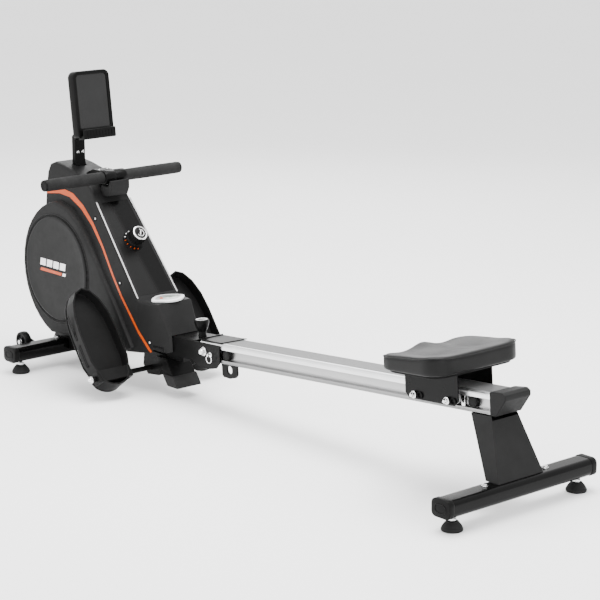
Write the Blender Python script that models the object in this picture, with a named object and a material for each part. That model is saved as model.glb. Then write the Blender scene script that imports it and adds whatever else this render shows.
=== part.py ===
"""Folding magnetic rowing machine, one object per piece. Metres, +X toward the rear stand, +Z up."""
import math

import bmesh
import bpy
from mathutils import Matrix, Vector

# Overall layout
STAND_SPAN = 1.703
FRONT_X = -0.7845
REAR_X = FRONT_X + STAND_SPAN
STAND_HALF_WIDTH = 0.203
GAP = 0.0003

# Stabiliser tubes and feet
TUBE_HALF_LENGTH = 0.239
TUBE_WIDTH = 0.056
TUBE_HEIGHT = 0.041
TUBE_BOTTOM_Z = 0.037
TUBE_WALL = 0.0025
TUBE_TOP_Z = TUBE_BOTTOM_Z + TUBE_HEIGHT
FOOT_RADIUS = 0.025
FOOT_PAD_HEIGHT = 0.022
STEM_RADIUS = 0.005
STEM_CLEARANCE = 0.0005
STEM_REACH = 0.014

# Transport wheels
WHEEL_RADIUS = 0.028
WHEEL_WIDTH = 0.020
WHEEL_Y = 0.152
WHEEL_X = FRONT_X - TUBE_WIDTH / 2 - WHEEL_RADIUS - 0.003
WHEEL_Z = 0.070
WHEEL_AXLE_RADIUS = 0.004

# Rail and its fold
RAIL_TILT = math.radians(4.72)
PIVOT_X = FRONT_X + 0.625
PIVOT_Z = 0.1595
RAIL_HEIGHT = 0.0526
RAIL_WIDTH = 0.078
RAIL_ROUNDING = 0.008
RAIL_NOSE = 0.018
RAIL_SHORT_OF_STAND = 0.028
RAIL_LENGTH = REAR_X - PIVOT_X - RAIL_SHORT_OF_STAND
CHANNEL_HEIGHT = 0.0275
CHANNEL_DEPTH = 0.013
CHANNEL_Z = -0.003
RAIL_WALL = 0.003
PIVOT_RADIUS = 0.006
SIDE_CLEARANCE = 0.0015
BRACKET_WALL = 0.003
BUMPER_RADIUS = 0.013
BUMPER_FRONT = 0.086
BUMPER_INSET = 0.058
END_CAP_LENGTH = 0.050
COVER_PLATE_INSET = 0.0022
LUG_ALONG = 0.0925
LUG_LENGTH = 0.062
LUG_THICKNESS = 0.006
LUG_Y = -0.031
LUG_EYE_Z = -0.0405
LUG_EYE_RADIUS = 0.011

# Seat carriage
SEAT_FROM_PIVOT = 0.863
CARRIAGE_LENGTH = 0.172
CARRIAGE_WALL = 0.003
CARRIAGE_DROP = 0.014
CARRIAGE_HALF_WIDTH = 0.057
CARRIAGE_TOP = 0.061
ROLLER_RADIUS = 0.0132
ROLLER_WIDTH = 0.009
ROLLER_BORE = 0.0045
ROLLER_SPACING = 0.108
SEAT_LENGTH = 0.200
SEAT_WIDTH = 0.284
SEAT_THICKNESS = 0.042
SEAT_FRONT_DROP = 0.008
SEAT_SET_BACK = 0.008
SEAT_CORNER = 0.050
SEAT_BASE_THICKNESS = 0.006

# Housing
HOUSING_HALF_WIDTH = 0.070
HOUSING_WALL = 0.003
FLYWHEEL_X = FRONT_X + 0.011
FLYWHEEL_Z = 0.282
COVER_X = FRONT_X + 0.042
COVER_Z = 0.2775
COVER_RADIUS = 0.2045
DISC_RADIUS = 0.147
DISC_RAISE = 0.0015
BULGE_DEPTH = 0.012
SEAM_WIDTH = 0.008
SEAM_SWELL = 2.8
TAPER_START_Z = 0.303
TAPER_END_Z = 0.577
TAPER_TOP = 0.73
FASCIA_TOP = (FRONT_X + 0.168, 0.502)
FASCIA_BOTTOM = (FRONT_X + 0.376, 0.254)
HUMP_REAR_X = FRONT_X + 0.448
HUMP_TOP_Z = 0.254
HUMP_FOOT_X = FRONT_X + 0.497
HUMP_TAPER = 0.685

# Flywheel, drum and strap
FLYWHEEL_RADIUS = 0.122
FLYWHEEL_WIDTH = 0.026
AXLE_RADIUS = 0.006
PLATE_Y = 0.042
PLATE_WALL = 0.004
DRUM_X = FRONT_X + 0.103
DRUM_Z = 0.470
DRUM_RADIUS = 0.035
DRUM_WIDTH = 0.034
PULLEY_RADIUS = 0.055
PULLEY_WIDTH = 0.012
SMALL_PULLEY_RADIUS = 0.022
BELT_THICKNESS = 0.003
BELT_Y = 0.030
GUIDE_X = FRONT_X + 0.104
GUIDE_RADIUS = 0.011
GUIDE_TOP_Z = 0.545
MOUTH_HALF_WIDTH = 0.022
GUIDE_HALF_WIDTH = 0.0165
GUIDE_PIN_RADIUS = 0.004
STRAP_WIDTH = 0.026
STRAP_THICKNESS = 0.002

# Handle
HANDLE_X = FRONT_X + 0.177
HANDLE_Z = 0.557
HANDLE_HALF_LENGTH = 0.227
BAR_RADIUS = 0.0115
GRIP_RADIUS = 0.016
CLAMP_RADIUS = 0.0195
CLAMP_LENGTH = 0.070

# Tablet holder
TABLET_X = FRONT_X + 0.079
TABLET_BOTTOM_Z = 0.655
TABLET_HEIGHT = 0.182
TABLET_WIDTH = 0.120
TABLET_THICKNESS = 0.028
TABLET_LEAN = math.radians(7.3)
NECK_WIDTH = 0.034
NECK_DEPTH = 0.016
NECK_FOOT_Z = 0.551
NECK_X = FRONT_X + 0.016

# Pedals
PEDAL_AXLE_X = FRONT_X + 0.378
PEDAL_AXLE_Z = 0.063
PEDAL_AXLE_RADIUS = 0.007
PEDAL_AXLE_HALF_LENGTH = 0.228
PEDAL_LEAN = math.radians(36)
PEDAL_LENGTH = 0.288
PEDAL_HEEL = 0.033
PEDAL_INNER_Y = 0.100
PEDAL_OUTER_Y = 0.2205
PEDAL_THICKNESS = 0.006

# Controls
KNOB_ALONG_FASCIA = 0.148
KNOB_RADIUS = 0.0235
KNOB_HEIGHT = 0.034
SKIRT_RADIUS = 0.030
SKIRT_HEIGHT = 0.012
LOCK_KNOB_X = PIVOT_X - 0.056
LOCK_KNOB_RADIUS = 0.020
PULL_PIN_RADIUS = 0.004
PULL_PIN_SEAT = 0.0001
PULL_PIN_PLACE = (0.0321, -0.0052)

RAIL_FRAME = Matrix.Translation((PIVOT_X, 0, PIVOT_Z)) @ Matrix.Rotation(-RAIL_TILT, 4, "Y")


def clear_scene():
    for old in list(bpy.data.objects):
        bpy.data.objects.remove(old, do_unlink=True)


def material(name, colour, roughness, metallic=0.0):
    made = bpy.data.materials.new(name)
    made.use_nodes = True
    shader = made.node_tree.nodes["Principled BSDF"]
    shader.inputs["Base Color"].default_value = (*colour, 1)
    shader.inputs["Roughness"].default_value = roughness
    shader.inputs["Metallic"].default_value = metallic
    made.diffuse_color = (*colour, 1)
    return made


def from_bmesh(name, mesh_data):
    bmesh.ops.recalc_face_normals(mesh_data, faces=mesh_data.faces)
    mesh = bpy.data.meshes.new(name)
    mesh_data.to_mesh(mesh)
    mesh_data.free()
    made = bpy.data.objects.new(name, mesh)
    bpy.context.collection.objects.link(made)
    return made


def prism(name, outline, low, high, axis="Y"):
    """Outline points run in XZ and extrude along Y, or in XY along Z, or in YZ along X."""
    place = {
        "Y": lambda a, b, c: (a, c, b),
        "Z": lambda a, b, c: (a, b, c),
        "X": lambda a, b, c: (c, a, b),
    }[axis]
    shape = bmesh.new()
    ends = [[shape.verts.new(place(a, b, c)) for a, b in outline] for c in (low, high)]
    shape.faces.new(ends[0])
    shape.faces.new(ends[1][::-1])
    for i in range(len(outline)):
        j = (i + 1) % len(outline)
        shape.faces.new((ends[0][i], ends[0][j], ends[1][j], ends[1][i]))
    return from_bmesh(name, shape)


def box(name, low, high):
    outline = [(low[0], low[1]), (high[0], low[1]), (high[0], high[1]), (low[0], high[1])]
    return prism(name, outline, low[2], high[2], "Z")


def turned(name, profile, place, segments=24):
    """Revolves (radius, height) points about local Z and moves the result to place."""
    shape = bmesh.new()
    rings = []
    for radius, height in profile:
        if radius < 1e-6:
            rings.append([shape.verts.new((0, 0, height))])
            continue
        turns = [2 * math.pi * i / segments for i in range(segments)]
        rings.append([shape.verts.new((radius * math.cos(t), radius * math.sin(t), height)) for t in turns])
    closed = rings + ([rings[0]] if len(rings[0]) > 1 else [])
    for lower, upper in zip(closed, closed[1:]):
        for i in range(segments):
            j = (i + 1) % segments
            corners = [lower[i % len(lower)], lower[j % len(lower)], upper[j % len(upper)], upper[i % len(upper)]]
            face = list(dict.fromkeys(corners))
            if len(face) > 2:
                shape.faces.new(face)
    shape.transform(place)
    return from_bmesh(name, shape)


def across(x, y, z):
    """Turns local Z to world +Y at the given point."""
    return Matrix.Translation((x, y, z)) @ Matrix.Rotation(-math.pi / 2, 4, "X")


def rod(name, x, z, y_low, y_high, radius, segments=24):
    return turned(name, [(0, y_low), (radius, y_low), (radius, y_high), (0, y_high)], across(x, 0, z), segments)


def ring(name, x, z, y_low, y_high, inner, outer, segments=24):
    profile = [(inner, y_low), (outer, y_low), (outer, y_high), (inner, y_high)]
    return turned(name, profile, across(x, 0, z), segments)


def post(name, x, y, z_low, z_high, radius, segments=16):
    place = Matrix.Translation((x, y, 0))
    return turned(name, [(0, z_low), (radius, z_low), (radius, z_high), (0, z_high)], place, segments)


def boolean(body, tool, operation):
    step = body.modifiers.new(operation, "BOOLEAN")
    step.operation = operation
    step.object = tool
    bpy.context.view_layer.update()
    mesh = bpy.data.meshes.new_from_object(body.evaluated_get(bpy.context.evaluated_depsgraph_get()))
    body.modifiers.clear()
    body.data = mesh
    bpy.data.objects.remove(tool, do_unlink=True)
    return body


def join(body, *tools):
    for tool in tools:
        boolean(body, tool, "UNION")
    return body


def cut(body, *tools):
    for tool in tools:
        boolean(body, tool, "DIFFERENCE")
    return body


def keep(body, tool):
    return boolean(body, tool, "INTERSECT")


def copy_of(source, name):
    made = source.copy()
    made.data = source.data.copy()
    made.name = name
    bpy.context.collection.objects.link(made)
    return made


def round_edges(target, width, segments=2, angle=35):
    step = target.modifiers.new("rounding", "BEVEL")
    step.width = width
    step.segments = segments
    step.limit_method = "ANGLE"
    step.angle_limit = math.radians(angle)
    return target


def finish(target, name, look, smooth=True):
    """Cleans the mesh, names the piece and gives it its own material."""
    target.name = name
    target.data.name = name
    shape = bmesh.new()
    shape.from_mesh(target.data)
    bmesh.ops.remove_doubles(shape, verts=shape.verts, dist=1e-6)
    bmesh.ops.dissolve_limit(shape, angle_limit=math.radians(0.5), verts=shape.verts, edges=shape.edges)
    shape.to_mesh(target.data)
    shape.free()
    target.data.materials.clear()
    colour, roughness, metallic = look
    target.data.materials.append(material(name, colour, roughness, metallic))
    if smooth:
        target.data.shade_smooth()
        target.data.set_sharp_from_angle(angle=math.radians(35))
    return target


def origin_at(target, x, y, z):
    target.data.transform(target.matrix_world.inverted() @ Matrix.Translation((-x, -y, -z)) @ target.matrix_world)
    target.location = (x, y, z)
    return target


def in_rail_frame(target):
    """Takes a mesh made along the rail, with the pivot at its origin, to its place in the world."""
    target.data.transform(RAIL_FRAME)
    return target


def rail_point(along, across_rail, above):
    return RAIL_FRAME @ Vector((along, across_rail, above))


BLACK_STEEL = ((0.018, 0.018, 0.019), 0.38, 0.3)
BLACK_PLASTIC = ((0.022, 0.022, 0.023), 0.42, 0.0)
RUBBER = ((0.012, 0.012, 0.012), 0.75, 0.0)
BRIGHT_STEEL = ((0.62, 0.62, 0.63), 0.28, 1.0)
ALUMINIUM = ((0.62, 0.63, 0.65), 0.32, 1.0)
ORANGE = ((0.85, 0.16, 0.01), 0.4, 0.0)


# Stands

def tube_outline(inset):
    half_width = TUBE_WIDTH / 2 - inset
    half_height = TUBE_HEIGHT / 2 - inset
    radius = 0.013 - inset / 2
    points = []
    for corner, (sign_x, sign_z) in enumerate(((1, 1), (-1, 1), (-1, -1), (1, -1))):
        for step in range(4):
            turn = math.pi / 2 * (corner + step / 3)
            x = sign_x * (half_width - radius) + radius * math.cos(turn)
            z = sign_z * (half_height - radius) + radius * math.sin(turn)
            points.append((x, z))
    return points


def stabiliser(name, x):
    middle_z = TUBE_BOTTOM_Z + TUBE_HEIGHT / 2
    outer = [(x + a, middle_z + b) for a, b in tube_outline(0)]
    inner = [(x + a, middle_z + b) for a, b in tube_outline(TUBE_WALL)]
    inside = TUBE_HALF_LENGTH - 0.012
    tube = prism(name, outer, -TUBE_HALF_LENGTH, TUBE_HALF_LENGTH)
    cut(tube, prism("hollow", inner, -inside, inside))
    for side in (-1, 1):
        hole_radius = STEM_RADIUS + STEM_CLEARANCE
        low = TUBE_BOTTOM_Z - 0.01
        cut(tube, post("hole", x, side * STAND_HALF_WIDTH, low, TUBE_BOTTOM_Z + 0.01, hole_radius))
    return tube


def foot(name, x, y):
    pad_top = FOOT_RADIUS * 0.62
    profile = [
        (0, 0),
        (FOOT_RADIUS - 0.002, 0),
        (FOOT_RADIUS, 0.003),
        (FOOT_RADIUS, 0.007),
        (pad_top, FOOT_PAD_HEIGHT - 0.002),
        (pad_top, FOOT_PAD_HEIGHT),
        (STEM_RADIUS, FOOT_PAD_HEIGHT),
        (STEM_RADIUS, TUBE_BOTTOM_Z + STEM_REACH),
        (0, TUBE_BOTTOM_Z + STEM_REACH),
    ]
    made = turned(name, profile, Matrix.Translation((x, y, 0)), 20)
    finish(made, name, RUBBER)
    return origin_at(made, x, y, TUBE_BOTTOM_Z)


def wheel_bracket(side):
    low, high = sorted((side * (WHEEL_Y - WHEEL_WIDTH / 2 - 0.006), side * (WHEEL_Y - WHEEL_WIDTH / 2 - 0.002)))
    outline = [
        (FRONT_X - TUBE_WIDTH / 2 + 0.012, TUBE_TOP_Z - 0.006),
        (FRONT_X - TUBE_WIDTH / 2 + 0.012, TUBE_BOTTOM_Z + 0.012),
        (WHEEL_X, WHEEL_Z - 0.012),
        (WHEEL_X - 0.012, WHEEL_Z),
        (WHEEL_X, WHEEL_Z + 0.012),
    ]
    arm = prism("arm", outline, low, high)
    inner, outer = sorted((side * (WHEEL_Y - WHEEL_WIDTH / 2 - 0.004), side * (WHEEL_Y + WHEEL_WIDTH / 2 + 0.001)))
    head = sorted((side * (WHEEL_Y + WHEEL_WIDTH / 2 + 0.0008), side * (WHEEL_Y + WHEEL_WIDTH / 2 + 0.006)))
    join(arm, rod("stub", WHEEL_X, WHEEL_Z, inner, outer, WHEEL_AXLE_RADIUS, 16))
    return join(arm, rod("head", WHEEL_X, WHEEL_Z, head[0], head[1], 0.008, 6))


def front_stand():
    tube = stabiliser("front_stabiliser", FRONT_X)
    for side in (-1, 1):
        join(tube, wheel_bracket(side))
    finish(tube, "front_stabiliser", BLACK_STEEL)
    for side, word in ((-1, "left"), (1, "right")):
        foot(f"foot_front_{word}", FRONT_X, side * STAND_HALF_WIDTH)
        low = side * WHEEL_Y - WHEEL_WIDTH / 2
        name = f"transport_wheel_{word}"
        bore = WHEEL_AXLE_RADIUS + 0.0004
        edge = WHEEL_RADIUS - 0.003
        profile = [
            (bore, low),
            (edge, low),
            (WHEEL_RADIUS, low + 0.003),
            (WHEEL_RADIUS, low + WHEEL_WIDTH - 0.003),
            (edge, low + WHEEL_WIDTH),
            (bore, low + WHEEL_WIDTH),
        ]
        wheel = turned(name, profile, across(WHEEL_X, 0, WHEEL_Z), 28)
        finish(wheel, name, BLACK_PLASTIC)
        origin_at(wheel, WHEEL_X, side * WHEEL_Y, WHEEL_Z)


# Main frame

def main_frame():
    spine_top = 0.130
    spine_bottom = 0.104
    spine_front = FRONT_X - 0.046
    spine_rear = PIVOT_X - 0.110
    frame = box("main_frame", (spine_front, -0.025, spine_bottom), (spine_rear, 0.025, spine_top))
    saddle = [
        (FRONT_X - 0.058, TUBE_BOTTOM_Z + 0.012),
        (FRONT_X - 0.040, TUBE_TOP_Z + 0.006),
        (FRONT_X - 0.020, spine_bottom + 0.004),
        (FRONT_X + 0.030, spine_bottom + 0.004),
        (FRONT_X + 0.042, TUBE_TOP_Z + 0.004),
        (FRONT_X + 0.058, TUBE_BOTTOM_Z + 0.012),
        (FRONT_X + TUBE_WIDTH / 2 + GAP, TUBE_BOTTOM_Z + 0.012),
        (FRONT_X + TUBE_WIDTH / 2 + GAP, TUBE_TOP_Z + GAP),
        (FRONT_X - TUBE_WIDTH / 2 - GAP, TUBE_TOP_Z + GAP),
        (FRONT_X - TUBE_WIDTH / 2 - GAP, TUBE_BOTTOM_Z + 0.012),
    ]
    join(frame, prism("saddle", saddle, -0.058, 0.058))
    for side in (-1, 1):
        join(frame, side_plate(side))
    join(frame, box("bridge", (NECK_X - 0.018, -PLATE_Y - 0.001, NECK_FOOT_Z - 0.008),
                    (NECK_X + 0.026, PLATE_Y + 0.001, NECK_FOOT_Z)))
    join(frame, box("foot_tie", (FRONT_X - 0.030, -PLATE_Y - 0.001, spine_bottom + 0.010),
                    (FRONT_X + 0.120, PLATE_Y + 0.001, spine_top + 0.004)))
    reach = PLATE_Y + 0.001
    join(frame, rod("drum_shaft", DRUM_X, DRUM_Z, -reach, reach, AXLE_RADIUS, 20))
    join(frame, rod("guide_pin", GUIDE_X, guide_z(), -reach, reach, GUIDE_PIN_RADIUS, 12))
    join(frame, sleeve())
    join(frame, pedal_bracket())
    return finish(frame, "main_frame", BLACK_STEEL)


def side_plate(side):
    """Upright that carries the flywheel axle, the drum shaft and the guide roller."""
    outline = [
        (FRONT_X - 0.035, 0.112),
        (FRONT_X + 0.130, 0.112),
        (FRONT_X + 0.040, 0.270),
        (FRONT_X + 0.070, 0.400),
        (FRONT_X + 0.128, 0.460),
        (FRONT_X + 0.120, 0.5385),
        (FRONT_X + 0.045, 0.551),
        (FRONT_X - 0.005, 0.551),
        (FRONT_X + 0.015, 0.400),
        (FRONT_X - 0.020, 0.300),
        (FRONT_X - 0.030, 0.250),
    ]
    low, high = sorted((side * PLATE_Y, side * (PLATE_Y + PLATE_WALL)))
    return prism("plate", outline, low, high)


def sleeve():
    """Square tube that meets the rail's nose, with the two hinge cheeks around the pivot."""
    half = RAIL_WIDTH / 2 + SIDE_CLEARANCE
    tube = box("tube", (-0.150, -half, -0.0275), (-0.040, half, 0.0245))
    cut(tube, box("hollow", (-0.140, -half + 0.003, -0.0245), (-0.030, half - 0.003, 0.0215)))
    for side in (-1, 1):
        low, high = sorted((side * half, side * (half + BRACKET_WALL)))
        cheek_outline = [
            (-0.096, -0.0270),
            (-0.056, -0.0300),
            (-0.020, -0.0420),
            (0.020, -0.0450),
            (0.050, -0.0400),
            (0.066, -0.0240),
            (0.068, 0.0225),
            (-0.096, 0.0240),
        ]
        cheek = prism("cheek", cheek_outline, low - 0.0001, high)
        cut(cheek, rod("bore", 0, 0, low - 0.01, high + 0.01, PIVOT_RADIUS + 0.0004, 20))
        join(tube, cheek)
    pin_x, pin_z = PULL_PIN_PLACE
    cut(tube, rod("pin_bore", pin_x, pin_z, -half - 0.02, -half + 0.001, PULL_PIN_RADIUS + 0.0004, 16))
    cut(tube, post("knob_bore", LOCK_KNOB_X - PIVOT_X, 0, 0.0, 0.04, 0.0065))
    return in_rail_frame(tube)


def pedal_bracket():
    outline = [
        (PEDAL_AXLE_X - 0.036, PEDAL_AXLE_Z + 0.002),
        (PEDAL_AXLE_X - 0.016, PEDAL_AXLE_Z - 0.022),
        (PEDAL_AXLE_X + 0.034, PEDAL_AXLE_Z - 0.016),
        (PEDAL_AXLE_X + 0.060, PEDAL_AXLE_Z + 0.046),
        (PEDAL_AXLE_X - 0.030, PEDAL_AXLE_Z + 0.046),
    ]
    bracket = prism("pedal_bracket", outline, -0.030, 0.030)
    return cut(bracket, rod("bore", PEDAL_AXLE_X, PEDAL_AXLE_Z, -0.05, 0.05, PEDAL_AXLE_RADIUS + GAP))


def middle_leg():
    """Box-section support under the sleeve, leaning forward, with a rubber boot."""
    foot_z = 0.030
    boot_top = 0.060
    top_z = 0.104 - GAP
    lean = -0.70
    centre_x = FRONT_X + 0.485
    half_depth = 0.0225

    def middle(z):
        return centre_x + lean * (z - foot_z)

    def section(name, low_z, high_z, grow, half_width):
        outline = [
            (middle(low_z) - half_depth - grow, low_z),
            (middle(low_z) + half_depth + grow, low_z),
            (middle(high_z) + half_depth + grow, high_z),
            (middle(high_z) - half_depth - grow, high_z),
        ]
        return prism(name, outline, -half_width, half_width)

    boot = section("leg_boot", foot_z, boot_top, 0.0, 0.041)
    leg = section("middle_leg", boot_top - 0.014, top_z, -0.003, 0.038)
    plug = section("socket", boot_top - 0.014 - GAP, boot_top + 0.02, -0.003 + GAP, 0.038 + GAP)
    cut(boot, plug)
    finish(boot, "leg_boot", RUBBER)
    cut(leg, box("bracket_room", (PEDAL_AXLE_X - 0.05, -0.030 - GAP, 0), (PEDAL_AXLE_X + 0.0605 + GAP, 0.030 + GAP, 0.2)))
    return finish(leg, "middle_leg", BLACK_STEEL)


# Housing

def housing_outline():
    """Side view of the housing, counter-clockwise from the front bottom."""
    bottom = [
        (FRONT_X - 0.030, 0.088),
        (FRONT_X + 0.316, 0.100),
        (FRONT_X + 0.447, 0.118),
        (HUMP_FOOT_X, 0.130),
    ]
    hump = [(HUMP_FOOT_X - 0.004, 0.172), (HUMP_REAR_X, HUMP_TOP_Z), FASCIA_BOTTOM]
    dome = [
        FASCIA_TOP,
        (FRONT_X + 0.147, 0.528),
        (FRONT_X + 0.113, 0.546),
        (FRONT_X + 0.068, 0.560),
        (FRONT_X + 0.013, 0.572),
        (FRONT_X - 0.028, 0.577),
        (FRONT_X - 0.052, 0.568),
        (FRONT_X - 0.063, 0.545),
        (FRONT_X - 0.068, 0.500),
    ]
    front = []
    for degrees in range(123, 244, 12):
        turn = math.radians(degrees)
        front.append((COVER_X + COVER_RADIUS * math.cos(turn), COVER_Z + COVER_RADIUS * math.sin(turn)))
    return bottom + hump + dome + front


def inset_outline(points, distance):
    count = len(points)
    moved = []
    for i in range(count):
        before, here, after = Vector(points[i - 1]), Vector(points[i]), Vector(points[(i + 1) % count])
        first = (here - before).normalized()
        second = (after - here).normalized()
        normal_a = Vector((-first.y, first.x))
        normal_b = Vector((-second.y, second.x))
        bisector = (normal_a + normal_b).normalized()
        reach = distance / max(bisector.dot(normal_a), 0.5)
        moved.append(tuple(here + bisector * reach))
    return moved


def taper(x, z):
    """Share of the full half width at a point of the side view."""
    share = 1.0
    if z > TAPER_START_Z:
        share -= (1 - TAPER_TOP) * (z - TAPER_START_Z) / (TAPER_END_Z - TAPER_START_Z)
    if x > FASCIA_BOTTOM[0] and z <= TAPER_START_Z:
        share -= (1 - HUMP_TAPER) * (x - FASCIA_BOTTOM[0]) / (HUMP_FOOT_X - FASCIA_BOTTOM[0])
    return share


def envelope(name, inset, bulge=True):
    """Closed solid of the housing's outside, moved inward by inset."""
    half = HOUSING_HALF_WIDTH - inset
    solid = prism(name, inset_outline(housing_outline(), inset), -half, half)
    shape = bmesh.new()
    shape.from_mesh(solid.data)
    rim = [e for e in shape.edges if abs(abs(e.verts[0].co.y) - half) < 1e-5
           and abs(e.verts[0].co.y - e.verts[1].co.y) < 1e-5]
    bmesh.ops.bevel(shape, geom=rim, offset=0.008 - inset / 2, segments=2, profile=0.5, affect="EDGES")
    for x, normal in ((FASCIA_BOTTOM[0], (1, 0, 0)),):
        everything = shape.verts[:] + shape.edges[:] + shape.faces[:]
        bmesh.ops.bisect_plane(shape, geom=everything, plane_co=(x, 0, 0), plane_no=normal)
    everything = shape.verts[:] + shape.edges[:] + shape.faces[:]
    bmesh.ops.bisect_plane(shape, geom=everything, plane_co=(0, 0, TAPER_START_Z), plane_no=(0, 0, 1))
    for vertex in shape.verts:
        vertex.co.y *= taper(vertex.co.x, vertex.co.z)
    bmesh.ops.triangulate(shape, faces=shape.faces)
    shape.to_mesh(solid.data)
    shape.free()
    if bulge:
        join(solid, bulge_solid(inset))
    return solid


def bulge_solid(inset):
    """Raised side panels over the flywheel, through both sides, with a round disc on each face."""
    outline = []
    for degrees in range(100, 251, 10):
        turn = math.radians(degrees)
        radius = COVER_RADIUS - 0.005
        outline.append((COVER_X + radius * math.cos(turn), COVER_Z + radius * math.sin(turn)))
    outline += [
        (FRONT_X + 0.345, 0.112),
        (FRONT_X + 0.358, 0.122),
        (FRONT_X + 0.287, 0.222),
        (FRONT_X + 0.156, 0.390),
        (FRONT_X + 0.119, 0.428),
        (FRONT_X + 0.070, 0.460),
    ]
    face_y = HOUSING_HALF_WIDTH + BULGE_DEPTH - inset
    panel = prism("bulge", inset_outline(outline, inset), -face_y, face_y)
    shape = bmesh.new()
    shape.from_mesh(panel.data)
    rim = [e for e in shape.edges if abs(e.verts[0].co.y - e.verts[1].co.y) < 1e-5]
    bmesh.ops.bevel(shape, geom=rim, offset=0.009, segments=2, profile=0.5, affect="EDGES")
    shape.to_mesh(panel.data)
    shape.free()
    face = face_y + DISC_RAISE
    disc = rod("disc", FLYWHEEL_X, FLYWHEEL_Z, -face, face, DISC_RADIUS - inset, 56)
    return join(panel, disc)


def seam_line():
    """Line of the trim in the side view, from ahead of the front down to the bottom."""
    return [
        (FRONT_X - 0.220, 0.470),
        (FRONT_X - 0.060, 0.484),
        (FRONT_X + 0.000, 0.492),
        (FRONT_X + 0.050, 0.488),
        (FRONT_X + 0.105, 0.464),
        (FRONT_X + 0.157, 0.426),
        (FRONT_X + 0.209, 0.372),
        (FRONT_X + 0.300, 0.248),
        (FRONT_X + 0.420, 0.113),
        (FRONT_X + 0.450, 0.080),
    ]


def seam_band(name, near, far):
    """Prism between two copies of the seam line, one and the other shifted back by near and far.

    A shift grows toward the front, so the trim is a crescent."""
    line = seam_line()
    shift = Vector((0.74, 0.67))

    def shifted(distance):
        points = []
        for i, place in enumerate(line):
            swell = 1.0 if distance < 0 else 1 + SEAM_SWELL * max(0.0, 1 - i / 6)
            points.append(tuple(Vector(place) + shift * distance * swell))
        return points

    return prism(name, shifted(near) + shifted(far)[::-1], -0.2, 0.2)


def housing():
    shell = cut(envelope("shell", 0), envelope("inside", HOUSING_WALL))
    cut(shell, box("bottom_opening", (FRONT_X - 0.062, -0.0605, 0.0), (HUMP_FOOT_X - 0.030, 0.0605, 0.1395)))
    exit_half = RAIL_WIDTH / 2 + SIDE_CLEARANCE + BRACKET_WALL + 0.001
    sleeve_exit = box("sleeve_exit", (-0.180, -exit_half, -0.07), (0.05, exit_half, 0.0265))
    cut(shell, in_rail_frame(sleeve_exit))
    cut(shell, strap_slot())
    cut(shell, box("neck_slot", (NECK_X - NECK_DEPTH / 2 - 0.001, -NECK_WIDTH / 2 - 0.001, 0.5),
                     (NECK_X + NECK_DEPTH / 2 + 0.008, NECK_WIDTH / 2 + 0.001, 0.7)))
    rear = copy_of(shell, "rear_cover")
    trim = copy_of(shell, "trim")
    side = keep(shell, seam_band("front_region", -0.9, -GAP))
    keep(rear, seam_band("rear_region", SEAM_WIDTH + GAP, 0.9))
    keep(trim, seam_band("trim_region", 0, SEAM_WIDTH))
    cut(rear, fascia_block("fascia_hole", 0.0, -0.010, 0.010))
    finish(rear, "rear_cover", BLACK_PLASTIC)
    for piece, names, look in ((side, "side_cover", BLACK_PLASTIC), (trim, "trim_strip", ORANGE)):
        for sign, word in ((-1, "left"), (1, "right")):
            name = f"{names}_{word}"
            half = copy_of(piece, name)
            low, high = sorted((sign * GAP / 2, sign * 0.2))
            keep(half, box("half", (-1.2, low, -0.1), (1.2, high, 0.9)))
            finish(half, name, look)
        bpy.data.objects.remove(piece, do_unlink=True)
    panel = fascia_block("fascia_panel", GAP, -0.0024, 0.0)
    cut(panel, on_fascia(turned("bore", [(0, -0.02), (0.007, -0.02), (0.007, 0.02), (0, 0.02)], Matrix(), 16),
                         KNOB_ALONG_FASCIA))
    finish(panel, "fascia_panel", ((0.02, 0.02, 0.021), 0.22, 0.0))


def fascia_frame():
    """Local X runs down the fascia, local Z out of it."""
    top = Vector((FASCIA_TOP[0], 0, FASCIA_TOP[1]))
    bottom = Vector((FASCIA_BOTTOM[0], 0, FASCIA_BOTTOM[1]))
    down = (bottom - top).normalized()
    out = Vector((-down.z, 0, down.x))
    side = out.cross(down)
    basis = Matrix((down, side, out)).transposed().to_4x4()
    return Matrix.Translation(top) @ basis


def on_fascia(target, along=0.0):
    target.data.transform(fascia_frame() @ Matrix.Translation((along, 0, 0)))
    return target


def fascia_block(name, gap, low, high):
    """Tapered slab that follows the fascia inside its edge strips."""
    length = (Vector(FASCIA_BOTTOM) - Vector(FASCIA_TOP)).length
    start, end = 0.018 + gap, length - 0.012 - gap

    def half(along):
        z = FASCIA_TOP[1] + (FASCIA_BOTTOM[1] - FASCIA_TOP[1]) * along / length
        return HOUSING_HALF_WIDTH * taper(FASCIA_TOP[0], z) - 0.013 - gap

    outline = [(start, -half(start)), (end, -half(end)), (end, half(end)), (start, half(start))]
    return on_fascia(prism(name, outline, low, high, "Z"))


def mouth_outline(grow):
    outline = [
        (FRONT_X + 0.084, 0.5375),
        (FRONT_X + 0.149, 0.5120),
        (FRONT_X + 0.149, 0.566),
        (FRONT_X + 0.143, 0.571),
        (FRONT_X + 0.115, 0.571),
        (FRONT_X + 0.084, 0.558),
    ]
    return inset_outline(outline, -grow)


def strap_slot():
    """Opening in the dome that the strap hood sits in."""
    half = MOUTH_HALF_WIDTH + GAP
    return prism("strap_slot", mouth_outline(GAP), -half, half)


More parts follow.
